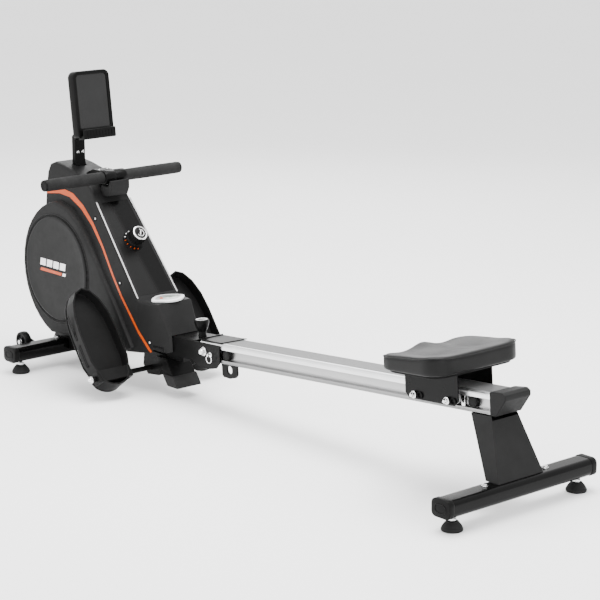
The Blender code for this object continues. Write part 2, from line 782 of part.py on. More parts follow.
def strap_mouth():
    """Hood on the dome's slope: the strap leaves through its front, over the guide roller inside."""
    hood = prism("strap_mouth", mouth_outline(0), -MOUTH_HALF_WIDTH, MOUTH_HALF_WIDTH)
    room = [
        (FRONT_X + 0.0875, 0.500),
        (FRONT_X + 0.1450, 0.500),
        (FRONT_X + 0.1450, 0.547),
        (FRONT_X + 0.1600, 0.547),
        (FRONT_X + 0.1600, 0.5645),
        (FRONT_X + 0.1150, 0.5675),
        (FRONT_X + 0.0875, 0.5550),
    ]
    half = MOUTH_HALF_WIDTH - 0.003
    cut(hood, prism("room", room, -half, half))
    cut(hood, rod("pin_hole", GUIDE_X, guide_z(), -0.03, 0.03, GUIDE_PIN_RADIUS + GAP, 12))
    return finish(hood, "strap_mouth", BLACK_PLASTIC)


# Drive inside the housing

def drive():
    axle_end = PLATE_Y - GAP
    axle = rod("flywheel_axle", FLYWHEEL_X, FLYWHEEL_Z, -axle_end, axle_end, AXLE_RADIUS)
    finish(axle, "flywheel_axle", BRIGHT_STEEL)
    bore = AXLE_RADIUS + 0.0004
    half = FLYWHEEL_WIDTH / 2
    web = 0.005
    hub = 0.020
    rim = FLYWHEEL_RADIUS - 0.026
    profile = [
        (bore, -half),
        (hub, -half),
        (hub, -web),
        (rim, -web),
        (rim, -half),
        (FLYWHEEL_RADIUS, -half),
        (FLYWHEEL_RADIUS, half),
        (rim, half),
        (rim, web),
        (hub, web),
        (hub, BELT_Y - PULLEY_WIDTH / 2),
        (SMALL_PULLEY_RADIUS, BELT_Y - PULLEY_WIDTH / 2),
        (SMALL_PULLEY_RADIUS, BELT_Y + PULLEY_WIDTH / 2),
        (bore, BELT_Y + PULLEY_WIDTH / 2),
    ]
    wheel = turned("flywheel", profile, across(FLYWHEEL_X, 0, FLYWHEEL_Z), 40)
    finish(wheel, "flywheel", ((0.25, 0.25, 0.26), 0.35, 1.0))
    origin_at(wheel, FLYWHEEL_X, 0, FLYWHEEL_Z)

    core = DRUM_WIDTH / 2
    profile = [
        (bore, -core - 0.003),
        (DRUM_RADIUS + 0.010, -core - 0.003),
        (DRUM_RADIUS + 0.010, -core),
        (DRUM_RADIUS, -core),
        (DRUM_RADIUS, core),
        (DRUM_RADIUS + 0.010, core),
        (DRUM_RADIUS + 0.010, core + 0.003),
        (0.018, core + 0.003),
        (0.018, BELT_Y - PULLEY_WIDTH / 2),
        (PULLEY_RADIUS, BELT_Y - PULLEY_WIDTH / 2),
        (PULLEY_RADIUS, BELT_Y + PULLEY_WIDTH / 2),
        (bore, BELT_Y + PULLEY_WIDTH / 2),
    ]
    drum = turned("strap_drum", profile, across(DRUM_X, 0, DRUM_Z), 36)
    finish(drum, "strap_drum", BLACK_PLASTIC)
    origin_at(drum, DRUM_X, 0, DRUM_Z)
    drive_belt()
    low, high = -PLATE_Y + GAP, -DRUM_WIDTH / 2 - 0.003 - GAP
    spring = ring("return_spring_case", DRUM_X, DRUM_Z, low, high, bore, 0.040, 28)
    finish(spring, "return_spring_case", ((0.3, 0.3, 0.31), 0.45, 1.0))
    roller_half = GUIDE_HALF_WIDTH
    roller = ring("guide_roller", GUIDE_X, guide_z(), -roller_half, roller_half, 0.0044, GUIDE_RADIUS, 24)
    finish(roller, "guide_roller", BLACK_PLASTIC)
    origin_at(roller, GUIDE_X, 0, guide_z())


def guide_z():
    """The guide roller's axle height: its top carries the strap just above the dome's slope."""
    return GUIDE_TOP_Z - GUIDE_RADIUS


def belt_outline(extra):
    """Open belt around the two pulleys, as tangent lines with arcs."""
    small = SMALL_PULLEY_RADIUS + extra
    large = PULLEY_RADIUS + extra
    reach = Vector((DRUM_X - FLYWHEEL_X, DRUM_Z - FLYWHEEL_Z))
    heading = math.atan2(reach.y, reach.x)
    spread = math.acos((small - large) / reach.length)
    points = []
    for centre, radius, start, end in (
        ((DRUM_X, DRUM_Z), large, heading - spread, heading + spread),
        ((FLYWHEEL_X, FLYWHEEL_Z), small, heading + spread, heading + 2 * math.pi - spread),
    ):
        for step in range(13):
            turn = start + (end - start) * step / 12
            points.append((centre[0] + radius * math.cos(turn), centre[1] + radius * math.sin(turn)))
    return points


def drive_belt():
    half = PULLEY_WIDTH / 2 - 0.001
    belt = prism("drive_belt", belt_outline(0.0018 + BELT_THICKNESS), BELT_Y - half, BELT_Y + half)
    cut(belt, prism("inside", belt_outline(0.0018), BELT_Y - 0.02, BELT_Y + 0.02))
    return finish(belt, "drive_belt", RUBBER)


def magnet_arm():
    """Yoke that straddles the flywheel rim behind the axle and swings about its pin."""
    turn = math.radians(205)
    centre = Vector((FLYWHEEL_X + 0.123 * math.cos(turn), FLYWHEEL_Z + 0.123 * math.sin(turn)))
    half = FLYWHEEL_WIDTH / 2 + 0.005
    radial = Vector((math.cos(turn), math.sin(turn)))
    tangent = Vector((-radial.y, radial.x))

    def corner(out, along):
        return tuple(centre + radial * out + tangent * along)

    yoke = prism("magnet_arm", [corner(-0.014, -0.045), corner(0.016, -0.045), corner(0.016, 0.045),
                                corner(-0.014, 0.045)], -half, half)
    rim = FLYWHEEL_RADIUS + 0.004
    cut(yoke, rod("rim_room", FLYWHEEL_X, FLYWHEEL_Z, -half + 0.003, half - 0.003, rim, 40))
    return finish(yoke, "magnet_arm", BRIGHT_STEEL)


# Strap and handle

def handle():
    half = CLAMP_LENGTH / 2
    bar = rod("handle_bar", HANDLE_X, HANDLE_Z, -HANDLE_HALF_LENGTH + 0.004, HANDLE_HALF_LENGTH - 0.004, BAR_RADIUS)
    for side in (-1, 1):
        low, high = sorted((side * (HANDLE_HALF_LENGTH - 0.004), side * HANDLE_HALF_LENGTH))
        join(bar, rod("end", HANDLE_X, HANDLE_Z, low - 0.0002, high + 0.0002, GRIP_RADIUS - 0.001))
    finish(bar, "handle_bar", BLACK_STEEL)
    for side, word in ((-1, "left"), (1, "right")):
        low, high = sorted((side * (half + GAP), side * (HANDLE_HALF_LENGTH - 0.0045 - GAP)))
        grip = ring(f"grip_{word}", HANDLE_X, HANDLE_Z, low, high, BAR_RADIUS + GAP, GRIP_RADIUS)
        finish(grip, f"grip_{word}", RUBBER)
    clamp = ring("handle_clamp", HANDLE_X, HANDLE_Z, -half, half, BAR_RADIUS + GAP, CLAMP_RADIUS)
    tongue = box("tongue", (HANDLE_X - CLAMP_RADIUS - 0.006, -0.018, HANDLE_Z - 0.006),
                 (HANDLE_X - CLAMP_RADIUS + 0.005, 0.018, HANDLE_Z + 0.006))
    join(clamp, tongue)
    finish(clamp, "handle_clamp", BLACK_PLASTIC)
    start = Vector((GUIDE_X, GUIDE_TOP_Z + 0.001))
    end = Vector((HANDLE_X - CLAMP_RADIUS - 0.006 - 2 * GAP, HANDLE_Z))
    lift = Vector((0, STRAP_THICKNESS / 2))
    outline = [tuple(start - lift + Vector((0, STRAP_THICKNESS / 2))), tuple(end - lift), tuple(end + lift),
               tuple(start + lift + Vector((0, STRAP_THICKNESS / 2)))]
    strap = prism("strap", outline, -STRAP_WIDTH / 2, STRAP_WIDTH / 2)
    finish(strap, "strap", ((0.02, 0.02, 0.02), 0.8, 0.0), smooth=False)


def handle_cradle():
    """Rest under the handle clamp, screwed to the top of the fascia."""
    top = HANDLE_Z - CLAMP_RADIUS - 0.0005
    outline = [
        (FASCIA_TOP[0] - 0.006, 0.520),
        (FASCIA_TOP[0] + 0.006, 0.506),
        (HANDLE_X + 0.024, 0.508),
        (HANDLE_X + 0.034, 0.528),
        (HANDLE_X + 0.034, HANDLE_Z - 0.006),
        (HANDLE_X + 0.026, HANDLE_Z - 0.006),
        (HANDLE_X + 0.020, top - 0.004),
        (HANDLE_X, top - 0.003),
        (HANDLE_X - 0.012, top - 0.002),
    ]
    cradle = prism("handle_cradle", outline, -0.031, 0.031)
    cut(cradle, envelope("cover_room", -GAP, bulge=False))
    return finish(cradle, "handle_cradle", BLACK_PLASTIC)


# Tablet holder

def tablet_holder():
    half = NECK_DEPTH / 2
    back_x = TABLET_X + 0.010
    neck = [
        (NECK_X - half, NECK_FOOT_Z + GAP),
        (NECK_X + half + 0.006, NECK_FOOT_Z + GAP),
        (NECK_X + half, 0.585),
        (NECK_X + half, 0.640),
        (back_x, 0.690),
        (back_x - 0.008, 0.740),
        (back_x - 0.018, 0.740),
        (back_x - 0.016, 0.695),
        (NECK_X - half, 0.650),
    ]
    post_solid = prism("tablet_neck", neck, -NECK_WIDTH / 2, NECK_WIDTH / 2)
    place = Matrix.Translation((TABLET_X, 0, TABLET_BOTTOM_Z)) @ Matrix.Rotation(-TABLET_LEAN, 4, "Y")
    half = TABLET_WIDTH / 2
    side_top = TABLET_HEIGHT - 0.026
    outline = [(-half + 0.006, 0), (half - 0.006, 0), (half, 0.012), (half, side_top)]
    for step in range(1, 8):
        turn = math.pi * step / 8
        across_top = half * math.copysign(abs(math.cos(turn)) ** 0.7, math.cos(turn))
        outline.append((across_top, side_top + 0.026 * math.sin(turn) ** 0.7))
    outline += [(-half, side_top), (-half, 0.012)]
    plate = prism("tablet_plate", outline, 0, TABLET_THICKNESS, "X")
    inner = [(a * 0.86, 0.018 + (b - 0.0) * 0.86) for a, b in outline]
    cut(plate, prism("recess", inner, TABLET_THICKNESS - 0.004, TABLET_THICKNESS + 0.01, "X"))
    face = TABLET_THICKNESS
    ledge_half = TABLET_WIDTH / 2 - 0.007
    join(plate, box("ledge", (face - 0.010, -ledge_half, -0.004), (face + 0.016, ledge_half, 0.006)))
    join(plate, box("lip", (face + 0.010, -ledge_half, -0.004), (face + 0.016, ledge_half, 0.022)))
    hollow = [(a * 0.90, 0.012 + b * 0.88) for a, b in outline]
    cut(plate, prism("back_room", hollow, -0.01, TABLET_THICKNESS - 0.007, "X"))
    plate.data.transform(place)
    neck_room = prism("neck_room", inset_outline(neck, -GAP), -NECK_WIDTH / 2 - GAP, NECK_WIDTH / 2 + GAP)
    cut(plate, neck_room)
    finish(plate, "tablet_plate", BLACK_PLASTIC)
    return finish(post_solid, "tablet_neck", BLACK_STEEL)


# Controls

def controls():
    skirt = turned("knob_skirt", [
        (0.0074, GAP),
        (SKIRT_RADIUS, GAP),
        (SKIRT_RADIUS - 0.003, 0.006),
        (0.0262, SKIRT_HEIGHT),
        (0.0074, SKIRT_HEIGHT),
    ], Matrix(), 28)
    finish(on_fascia(skirt, KNOB_ALONG_FASCIA), "knob_skirt", BLACK_PLASTIC)
    base = SKIRT_HEIGHT + GAP
    knob = turned("tension_knob", [
        (0, -0.018),
        (0.0066, -0.018),
        (0.0066, base),
        (KNOB_RADIUS + 0.0022, base),
        (KNOB_RADIUS, base + KNOB_HEIGHT - 0.002),
        (KNOB_RADIUS - 0.002, base + KNOB_HEIGHT),
        (0, base + KNOB_HEIGHT),
    ], Matrix(), 28)
    finish(on_fascia(knob, KNOB_ALONG_FASCIA), "tension_knob", BLACK_PLASTIC)
    centre = fascia_frame() @ Vector((KNOB_ALONG_FASCIA, 0, 0))
    origin_at(knob, *centre)

    cable_run()
    monitor()


def cable_run():
    """Bowden cable from the tension knob's drum down to the magnet yoke."""
    start = fascia_frame() @ Vector((KNOB_ALONG_FASCIA, 0, -0.022))
    data = bpy.data.curves.new("tension_cable", "CURVE")
    data.dimensions = "3D"
    line = data.splines.new("BEZIER")
    line.bezier_points.add(2)
    stops = [
        (Vector((start.x, -0.020, start.z)), Vector((-0.03, 0, -0.03))),
        (Vector((FLYWHEEL_X + 0.105, -0.035, 0.182)), Vector((-0.03, 0, -0.04))),
        (Vector((FLYWHEEL_X - 0.080, -0.026, 0.168)), Vector((-0.02, 0, 0.02))),
    ]
    for point, (place, pull) in zip(line.bezier_points, stops):
        point.co = place
        point.handle_left = place - pull
        point.handle_right = place + pull
    data.bevel_depth = 0.0025
    data.bevel_resolution = 1
    data.resolution_u = 8
    data.use_fill_caps = True
    made = bpy.data.objects.new("cable_path", data)
    bpy.context.collection.objects.link(made)
    bpy.context.view_layer.update()
    mesh = bpy.data.meshes.new_from_object(made.evaluated_get(bpy.context.evaluated_depsgraph_get()))
    cable = bpy.data.objects.new("tension_cable", mesh)
    bpy.context.collection.objects.link(cable)
    bpy.data.objects.remove(made, do_unlink=True)
    shape = bmesh.new()
    shape.from_mesh(mesh)
    bmesh.ops.remove_doubles(shape, verts=shape.verts, dist=1e-6)
    bmesh.ops.recalc_face_normals(shape, faces=shape.faces)
    shape.to_mesh(mesh)
    shape.free()
    finish(cable, "tension_cable", RUBBER)


def eye_outline(length, width):
    points = []
    for side in (1, -1):
        for step in range(8):
            share = step / 8
            along = (0.5 - share) * length * side
            points.append((along, side * width / 2 * math.cos(math.pi * (share - 0.5)) ** 0.75))
    return points


def monitor():
    """Display on the hump: a bright frame, a clear lens and one button."""
    middle_x = (FASCIA_BOTTOM[0] + HUMP_REAR_X) / 2 + 0.006
    top = HUMP_TOP_Z + GAP
    outer = [(middle_x + b, a) for a, b in eye_outline(0.108, 0.074)]
    inner = [(middle_x + b, a) for a, b in eye_outline(0.084, 0.052)]
    frame = prism("monitor_frame", outer, top, top + 0.006, "Z")
    cut(frame, prism("window", inner, top + 0.002, top + 0.02, "Z"))
    lens_outline = [(middle_x + b, a) for a, b in eye_outline(0.084 - 0.001, 0.052 - 0.001)]
    lens = prism("monitor_lens", lens_outline, top + 0.002 + GAP, top + 0.0052, "Z")
    button_y = -0.022
    cut(lens, post("button_room", middle_x, button_y, top, top + 0.02, 0.0055))
    button = post("monitor_button", middle_x, button_y, top + 0.0022 + 0.0012, top + 0.0066, 0.0050)
    finish(frame, "monitor_frame", BRIGHT_STEEL)
    finish(lens, "monitor_lens", ((0.35, 0.36, 0.36), 0.08, 0.0))
    finish(button, "monitor_button", BLACK_PLASTIC)
    return origin_at(button, middle_x, button_y, top + 0.0066)


# Pedals

def pedal_axle():
    reach = PEDAL_AXLE_HALF_LENGTH
    axle = rod("pedal_axle", PEDAL_AXLE_X, PEDAL_AXLE_Z, -reach + 0.004, reach - 0.004, PEDAL_AXLE_RADIUS, 20)
    for side in (-1, 1):
        low, high = sorted((side * (reach - 0.004), side * reach))
        join(axle, rod("nut", PEDAL_AXLE_X, PEDAL_AXLE_Z, low - 0.0002, high, 0.011, 6))
    return finish(axle, "pedal_axle", BLACK_STEEL)


def pedal_plan(grow=0.0):
    """Sole outline: distance up the pedal, then distance across from its middle."""
    half = (PEDAL_OUTER_Y - PEDAL_INNER_Y) / 2 + grow
    heel, toe = -PEDAL_HEEL - grow, PEDAL_LENGTH - PEDAL_HEEL + grow
    points = []
    for step in range(9):
        turn = math.pi * step / 8
        points.append((heel + 0.035 - 0.035 * math.sin(turn), -(half - 0.012) * math.cos(turn)))
    points.append((heel + 0.075, half))
    shoulder = toe - 0.125
    for step in range(9):
        turn = math.pi * step / 8
        points.append((shoulder + 0.125 * math.sin(turn), half * math.cos(turn)))
    points.append((heel + 0.075, -half))
    return points


def pedal(name, side):
    """Foot plate with a side flange and a heel rim, free to rock on the axle."""
    above = PEDAL_AXLE_RADIUS + 0.0055
    middle_y = side * (PEDAL_INNER_Y + PEDAL_OUTER_Y) / 2
    place = (Matrix.Translation((PEDAL_AXLE_X, middle_y, PEDAL_AXLE_Z))
             @ Matrix.Rotation(-math.pi / 2 - PEDAL_LEAN, 4, "Y"))
    shell = prism(name, pedal_plan(), -0.018, above + 0.0155, "Z")
    cut(shell, prism("under", pedal_plan(-0.004), -0.03, above, "Z"))
    cut(shell, prism("foot_room", pedal_plan(-0.004), above + PEDAL_THICKNESS, above + 0.05, "Z"))
    slope = prism("slope", [(0.02, above + PEDAL_THICKNESS + 0.003), (0.5, above + PEDAL_THICKNESS + 0.0005),
                            (0.5, 0.1), (-0.01, 0.1)], -0.2, 0.2)
    cut(shell, slope)
    half = (PEDAL_OUTER_Y - PEDAL_INNER_Y) / 2
    boss = box("boss", (-0.016, -half + 0.006, -0.016), (0.016, half - 0.006, above + 0.001))
    join(shell, boss)
    cut(shell, rod("bore", 0, 0, -0.2, 0.2, PEDAL_AXLE_RADIUS + 0.0004, 20))
    shell.data.transform(place)
    finish(shell, name, BLACK_PLASTIC)
    return origin_at(shell, PEDAL_AXLE_X, middle_y, PEDAL_AXLE_Z)


# Rail assembly, made along the rail with the pivot at the origin

def rail():
    half = RAIL_WIDTH / 2
    top, bottom = RAIL_HEIGHT / 2, -RAIL_HEIGHT / 2
    high, low = CHANNEL_Z + CHANNEL_HEIGHT / 2, CHANNEL_Z - CHANNEL_HEIGHT / 2
    floor = half - CHANNEL_DEPTH
    turn = RAIL_ROUNDING
    right = [
        (half - turn, top),
        (half - 0.5 * turn, top - 0.13 * turn),
        (half - 0.13 * turn, top - 0.5 * turn),
        (half, top - turn),
        (half, high),
        (floor, high),
        (floor, low),
        (half, low),
        (half, bottom + 0.002),
        (half - 0.002, bottom),
    ]
    outline = right + [(-a, b) for a, b in reversed(right)]
    end = RAIL_LENGTH - RAIL_NOSE
    body = prism("rail", outline, -RAIL_NOSE, end, "X")
    inside = floor - RAIL_WALL
    cut(body, box("core", (-0.1, -inside, bottom + RAIL_WALL), (1.2 + end, inside, top - RAIL_WALL)))
    cut(body, rod("bore", 0, 0, -0.1, 0.1, PIVOT_RADIUS + 0.0004, 20))
    for along in (BUMPER_FRONT, rail_bumper_rear()):
        cut(body, rod("bumper_bore", along, CHANNEL_Z, -0.1, 0.1, 0.0044, 16))
    return finish(in_rail_frame(body), "rail", ALUMINIUM)


def rail_bumper_rear():
    return RAIL_LENGTH - RAIL_NOSE - BUMPER_INSET


def bumpers():
    """Rubber stop on each side of the rail, on one bolt through its web."""
    outer = RAIL_WIDTH / 2 - 0.0015
    inner = RAIL_WIDTH / 2 - CHANNEL_DEPTH + GAP
    for along, name in ((BUMPER_FRONT, "bumper_front"), (rail_bumper_rear(), "bumper_rear")):
        bolt = rod(name, along, CHANNEL_Z, -outer + 0.001, outer - 0.001, 0.004, 16)
        for side in (-1, 1):
            low, high = sorted((side * inner, side * outer))
            join(bolt, rod("rubber", along, CHANNEL_Z, low, high, BUMPER_RADIUS, 24))
        finish(in_rail_frame(bolt), name, RUBBER)


def rail_end_cap():
    end = RAIL_LENGTH - RAIL_NOSE
    half = RAIL_WIDTH / 2 + 0.003
    top = RAIL_HEIGHT / 2 + 0.002
    outline = [
        (end + GAP, top),
        (end + END_CAP_LENGTH - 0.010, top + 0.003),
        (end + END_CAP_LENGTH, top - 0.003),
        (end + END_CAP_LENGTH, top - 0.014),
        (end + 0.018, -RAIL_HEIGHT / 2),
        (end + GAP, -RAIL_HEIGHT / 2),
    ]
    cap = prism("rail_end_cap", outline, -half, half)
    return finish(in_rail_frame(cap), "rail_end_cap", BLACK_PLASTIC)


def tapered_column():
    """Sheet-steel upright between the rail and the rear tube, wider at its foot."""
    end_x = REAR_X - 0.043
    tilt = math.tan(RAIL_TILT)

    def under_rail(x):
        return PIVOT_Z + (x - PIVOT_X) * tilt - RAIL_HEIGHT / 2 / math.cos(RAIL_TILT) - GAP

    def loop(inset, cap):
        front_top, rear_top = end_x - 0.064 + inset, end_x - inset
        front_low, rear_low = REAR_X - 0.026 + inset, REAR_X + 0.014 - inset
        top_half, low_half = 0.041 - inset, 0.073 - inset
        foot_z = TUBE_TOP_Z + GAP - cap
        lower = [(front_low, -low_half, foot_z), (rear_low, -low_half, foot_z),
                 (rear_low, low_half, foot_z), (front_low, low_half, foot_z)]
        upper = [(front_top, -top_half, under_rail(front_top) + cap), (rear_top, -top_half, under_rail(rear_top) + cap),
                 (rear_top, top_half, under_rail(rear_top) + cap), (front_top, top_half, under_rail(front_top) + cap)]
        return lower, upper

    def hexahedron(name, inset, cap):
        shape = bmesh.new()
        lower, upper = ([shape.verts.new(p) for p in level] for level in loop(inset, cap))
        shape.faces.new(lower[::-1])
        shape.faces.new(upper)
        for i in range(4):
            j = (i + 1) % 4
            shape.faces.new((lower[i], lower[j], upper[j], upper[i]))
        bmesh.ops.triangulate(shape, faces=shape.faces)
        return from_bmesh(name, shape)

    column = cut(hexahedron("rear_column", 0, 0), hexahedron("hollow", 0.003, 0.01))
    return finish(column, "rear_column", BLACK_STEEL)


def stow_lug():
    """Ear under the rail that a stowing strap or hook goes through."""
    half = LUG_LENGTH / 2
    under = -RAIL_HEIGHT / 2 - GAP
    outline = [
        (LUG_ALONG - half, under),
        (LUG_ALONG - half, -0.057),
        (LUG_ALONG - half + 0.006, -0.062),
        (LUG_ALONG, -0.064),
        (LUG_ALONG + half - 0.008, -0.059),
        (LUG_ALONG + half, -0.051),
        (LUG_ALONG + half, under),
    ]
    lug = prism("stow_lug", outline, LUG_Y - LUG_THICKNESS / 2, LUG_Y + LUG_THICKNESS / 2)
    cut(lug, rod("eye", LUG_ALONG, LUG_EYE_Z, LUG_Y - 0.01, LUG_Y + 0.01, LUG_EYE_RADIUS, 24))
    return finish(in_rail_frame(lug), "stow_lug", BLACK_STEEL)


def hinge_cover():
    """Thin plate on top of the rail over the hinge, with a raised front edge and one pointed corner."""
    top = RAIL_HEIGHT / 2 + GAP
    half = RAIL_WIDTH / 2 - COVER_PLATE_INSET
    outline = [(-0.016, -half), (0.070, -half), (0.080, half + 0.004), (0.060, half), (-0.016, half)]
    plate = prism("hinge_cover", outline, top, top + 0.0025, "Z")
    join(plate, box("edge", (-0.018, -half, top), (-0.014, half, top + 0.005)))
    return finish(in_rail_frame(plate), "hinge_cover", BLACK_STEEL)


def hinge_hardware():
    reach = RAIL_WIDTH / 2 + SIDE_CLEARANCE + BRACKET_WALL
    bolt = rod("pivot_bolt", 0, 0, -reach - 0.001, reach + 0.001, PIVOT_RADIUS, 20)
    for side in (-1, 1):
        head = turned("head", [(0, 0), (0.0095, 0), (0.0095, 0.004), (0.006, 0.0075), (0, 0.009)],
                      Matrix.Translation((0, side * (reach + GAP), 0)) @ Matrix.Rotation(-side * math.pi / 2, 4, "X"), 16)
        join(bolt, head)
    finish(in_rail_frame(bolt), "pivot_bolt", BRIGHT_STEEL)

    pin_x, pin_z = PULL_PIN_PLACE
    tip = -RAIL_WIDTH / 2 - GAP
    shoulder = -reach - PULL_PIN_SEAT
    collar, out = shoulder - 0.0037, shoulder - 0.0127
    profile = [(0, tip), (PULL_PIN_RADIUS, tip), (PULL_PIN_RADIUS, shoulder),
               (0.0065, shoulder), (0.0065, collar), (0.0034, collar), (0.0034, out), (0, out)]
    pin = turned("pull_pin", profile, across(pin_x, 0, pin_z), 16)
    hole_y = out + 0.004
    cut(pin, turned("eye", [(0, -0.02), (0.0018, -0.02), (0.0018, 0.02), (0, 0.02)],
                    Matrix.Translation((pin_x, hole_y, pin_z)) @ Matrix.Rotation(math.pi / 2, 4, "Y"), 12))
    in_rail_frame(pin)
    finish(pin, "pull_pin", BRIGHT_STEEL)
    origin_at(pin, *rail_point(pin_x, -reach, pin_z))

    bpy.ops.mesh.primitive_torus_add(major_radius=0.0105, minor_radius=0.0012, major_segments=24, minor_segments=8)
    loop = bpy.context.object
    loop.data.transform(Matrix.Translation((pin_x, hole_y, pin_z - 0.0105)) @ Matrix.Rotation(math.pi / 2, 4, "X"))
    in_rail_frame(loop)
    finish(loop, "pull_ring", BRIGHT_STEEL)
    origin_at(loop, *rail_point(pin_x, hole_y, pin_z))


def lock_knob():
    along = LOCK_KNOB_X - PIVOT_X
    profile = [
        (0, 0.004),
        (0.006, 0.004),
        (0.006, 0.0245 + GAP),
        (0.011, 0.0245 + GAP),
        (0.010, 0.040),
        (0.015, 0.048),
        (LOCK_KNOB_RADIUS - 0.002, 0.056),
        (LOCK_KNOB_RADIUS, 0.064),
        (LOCK_KNOB_RADIUS, 0.070),
        (LOCK_KNOB_RADIUS - 0.002, 0.072),
        (0, 0.072),
    ]
    knob = turned("lock_knob", profile, Matrix.Translation((along, 0, 0)), 24)
    in_rail_frame(knob)
    finish(knob, "lock_knob", BLACK_PLASTIC)
    return origin_at(knob, *rail_point(along, 0, 0.0245))


def rear_stand():
    tube = stabiliser("rear_stabiliser", REAR_X)
    finish(tube, "rear_stabiliser", BLACK_STEEL)
    for side, word in ((-1, "left"), (1, "right")):
        foot(f"foot_rear_{word}", REAR_X, side * STAND_HALF_WIDTH)


# Seat

def carriage():
    start = SEAT_FROM_PIVOT - CARRIAGE_LENGTH / 2
    end = SEAT_FROM_PIVOT + CARRIAGE_LENGTH / 2
    outer = CARRIAGE_HALF_WIDTH
    inner = outer - CARRIAGE_WALL
    body = box("carriage", (start, -outer, CARRIAGE_TOP - CARRIAGE_WALL), (end, outer, CARRIAGE_TOP))
    corner = 0.012
    outline = [
        (start, -CARRIAGE_DROP + corner),
        (start + corner, -CARRIAGE_DROP),
        (end - corner, -CARRIAGE_DROP),
        (end, -CARRIAGE_DROP + corner),
        (end, CARRIAGE_TOP - 0.001),
        (start, CARRIAGE_TOP - 0.001),
    ]
    axle_in = RAIL_WIDTH / 2 - CHANNEL_DEPTH + 0.0015
    for side in (-1, 1):
        low, high = sorted((side * inner, side * outer))
        join(body, prism("plate", outline, low, high))
        for shift in (-1, 1):
            along = SEAT_FROM_PIVOT + shift * ROLLER_SPACING / 2
            low, high = sorted((side * axle_in, side * (inner + 0.001)))
            join(body, rod("stub", along, CHANNEL_Z, low, high, ROLLER_BORE - 0.0004, 16))
            low, high = sorted((side * (outer - 0.0005), side * (outer + 0.005)))
            join(body, rod("head", along, CHANNEL_Z, low, high, 0.0065, 6))
    in_rail_frame(body)
    return finish(body, "carriage", BLACK_STEEL)


def rollers():
    inner = RAIL_WIDTH / 2 - CHANNEL_DEPTH + 0.002
    for side, word in ((-1, "left"), (1, "right")):
        for shift, place in ((-1, "front"), (1, "rear")):
            along = SEAT_FROM_PIVOT + shift * ROLLER_SPACING / 2
            low, high = sorted((side * inner, side * (inner + ROLLER_WIDTH)))
            name = f"roller_{place}_{word}"
            wheel = ring(name, along, CHANNEL_Z, low, high, ROLLER_BORE, ROLLER_RADIUS, 24)
            in_rail_frame(wheel)
            finish(wheel, name, ((0.06, 0.06, 0.06), 0.5, 0.0))
            origin_at(wheel, *rail_point(along, side * (inner + ROLLER_WIDTH / 2), CHANNEL_Z))


def seat_outline(inset):
    half_x, half_y = SEAT_LENGTH / 2 - inset, SEAT_WIDTH / 2 - inset
    radius = SEAT_CORNER - inset
    points = []
    for corner, (sign_x, sign_y) in enumerate(((1, 1), (-1, 1), (-1, -1), (1, -1))):
        for step in range(6):
            turn = math.pi / 2 * (corner + step / 5)
            points.append((SEAT_FROM_PIVOT + SEAT_SET_BACK + sign_x * (half_x - radius) + radius * math.cos(turn),
                           sign_y * (half_y - radius) + radius * math.sin(turn)))
    return points


def seat():
    base_low = CARRIAGE_TOP + GAP
    base_high = base_low + SEAT_BASE_THICKNESS
    base = prism("seat_base", seat_outline(0.012), base_low, base_high, "Z")
    finish(in_rail_frame(base), "seat_base", BLACK_PLASTIC)
    low = base_high + GAP
    pad = prism("seat_pad", seat_outline(0), low, low + SEAT_THICKNESS, "Z")
    rear_end = SEAT_FROM_PIVOT + SEAT_SET_BACK + SEAT_LENGTH / 2
    for vertex in pad.data.vertices:
        if vertex.co.z > low + SEAT_THICKNESS / 2:
            vertex.co.z -= SEAT_FRONT_DROP * (rear_end - vertex.co.x) / SEAT_LENGTH
    round_edges(pad, 0.007, 2, 50)
    in_rail_frame(pad)
    bpy.context.view_layer.update()
    pad.data = bpy.data.meshes.new_from_object(pad.evaluated_get(bpy.context.evaluated_depsgraph_get()))
    pad.modifiers.clear()
    return finish(pad, "seat_pad", ((0.03, 0.03, 0.03), 0.55, 0.0))


def main():
    clear_scene()
    front_stand()
    main_frame()
    middle_leg()
    housing()
    strap_mouth()
    drive()
    magnet_arm()
    handle()
    handle_cradle()
    tablet_holder()
    controls()
    pedal_axle()
    pedal("pedal_left", -1)
    pedal("pedal_right", 1)
    rail()
    bumpers()
    rail_end_cap()
    tapered_column()
    stow_lug()
    hinge_cover()
    hinge_hardware()
    lock_knob()
    rear_stand()
    carriage()
    rollers()
    seat()


main()
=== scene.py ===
import math

import bmesh
import bpy
from mathutils import Matrix, Vector
from mathutils.bvhtree import BVHTree


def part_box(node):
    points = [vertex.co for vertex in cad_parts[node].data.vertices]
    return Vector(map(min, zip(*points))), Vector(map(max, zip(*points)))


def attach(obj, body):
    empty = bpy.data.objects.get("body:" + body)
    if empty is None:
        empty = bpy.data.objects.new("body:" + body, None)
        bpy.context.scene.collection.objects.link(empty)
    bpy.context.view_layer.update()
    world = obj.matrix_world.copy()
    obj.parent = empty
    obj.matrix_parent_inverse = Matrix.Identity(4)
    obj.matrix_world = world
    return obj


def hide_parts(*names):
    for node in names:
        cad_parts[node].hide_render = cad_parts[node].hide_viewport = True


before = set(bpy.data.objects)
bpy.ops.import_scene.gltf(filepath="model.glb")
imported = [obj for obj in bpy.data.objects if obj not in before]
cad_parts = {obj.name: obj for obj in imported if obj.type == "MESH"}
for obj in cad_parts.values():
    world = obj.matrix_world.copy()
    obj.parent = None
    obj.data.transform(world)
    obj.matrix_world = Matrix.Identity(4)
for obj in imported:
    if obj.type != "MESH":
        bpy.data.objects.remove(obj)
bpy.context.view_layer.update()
print("frame loaded:", len(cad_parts), "nodes")


# Places read from the frame

def middle(node):
    low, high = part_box(node)
    return (low + high) / 2


def size(node):
    low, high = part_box(node)
    return high - low


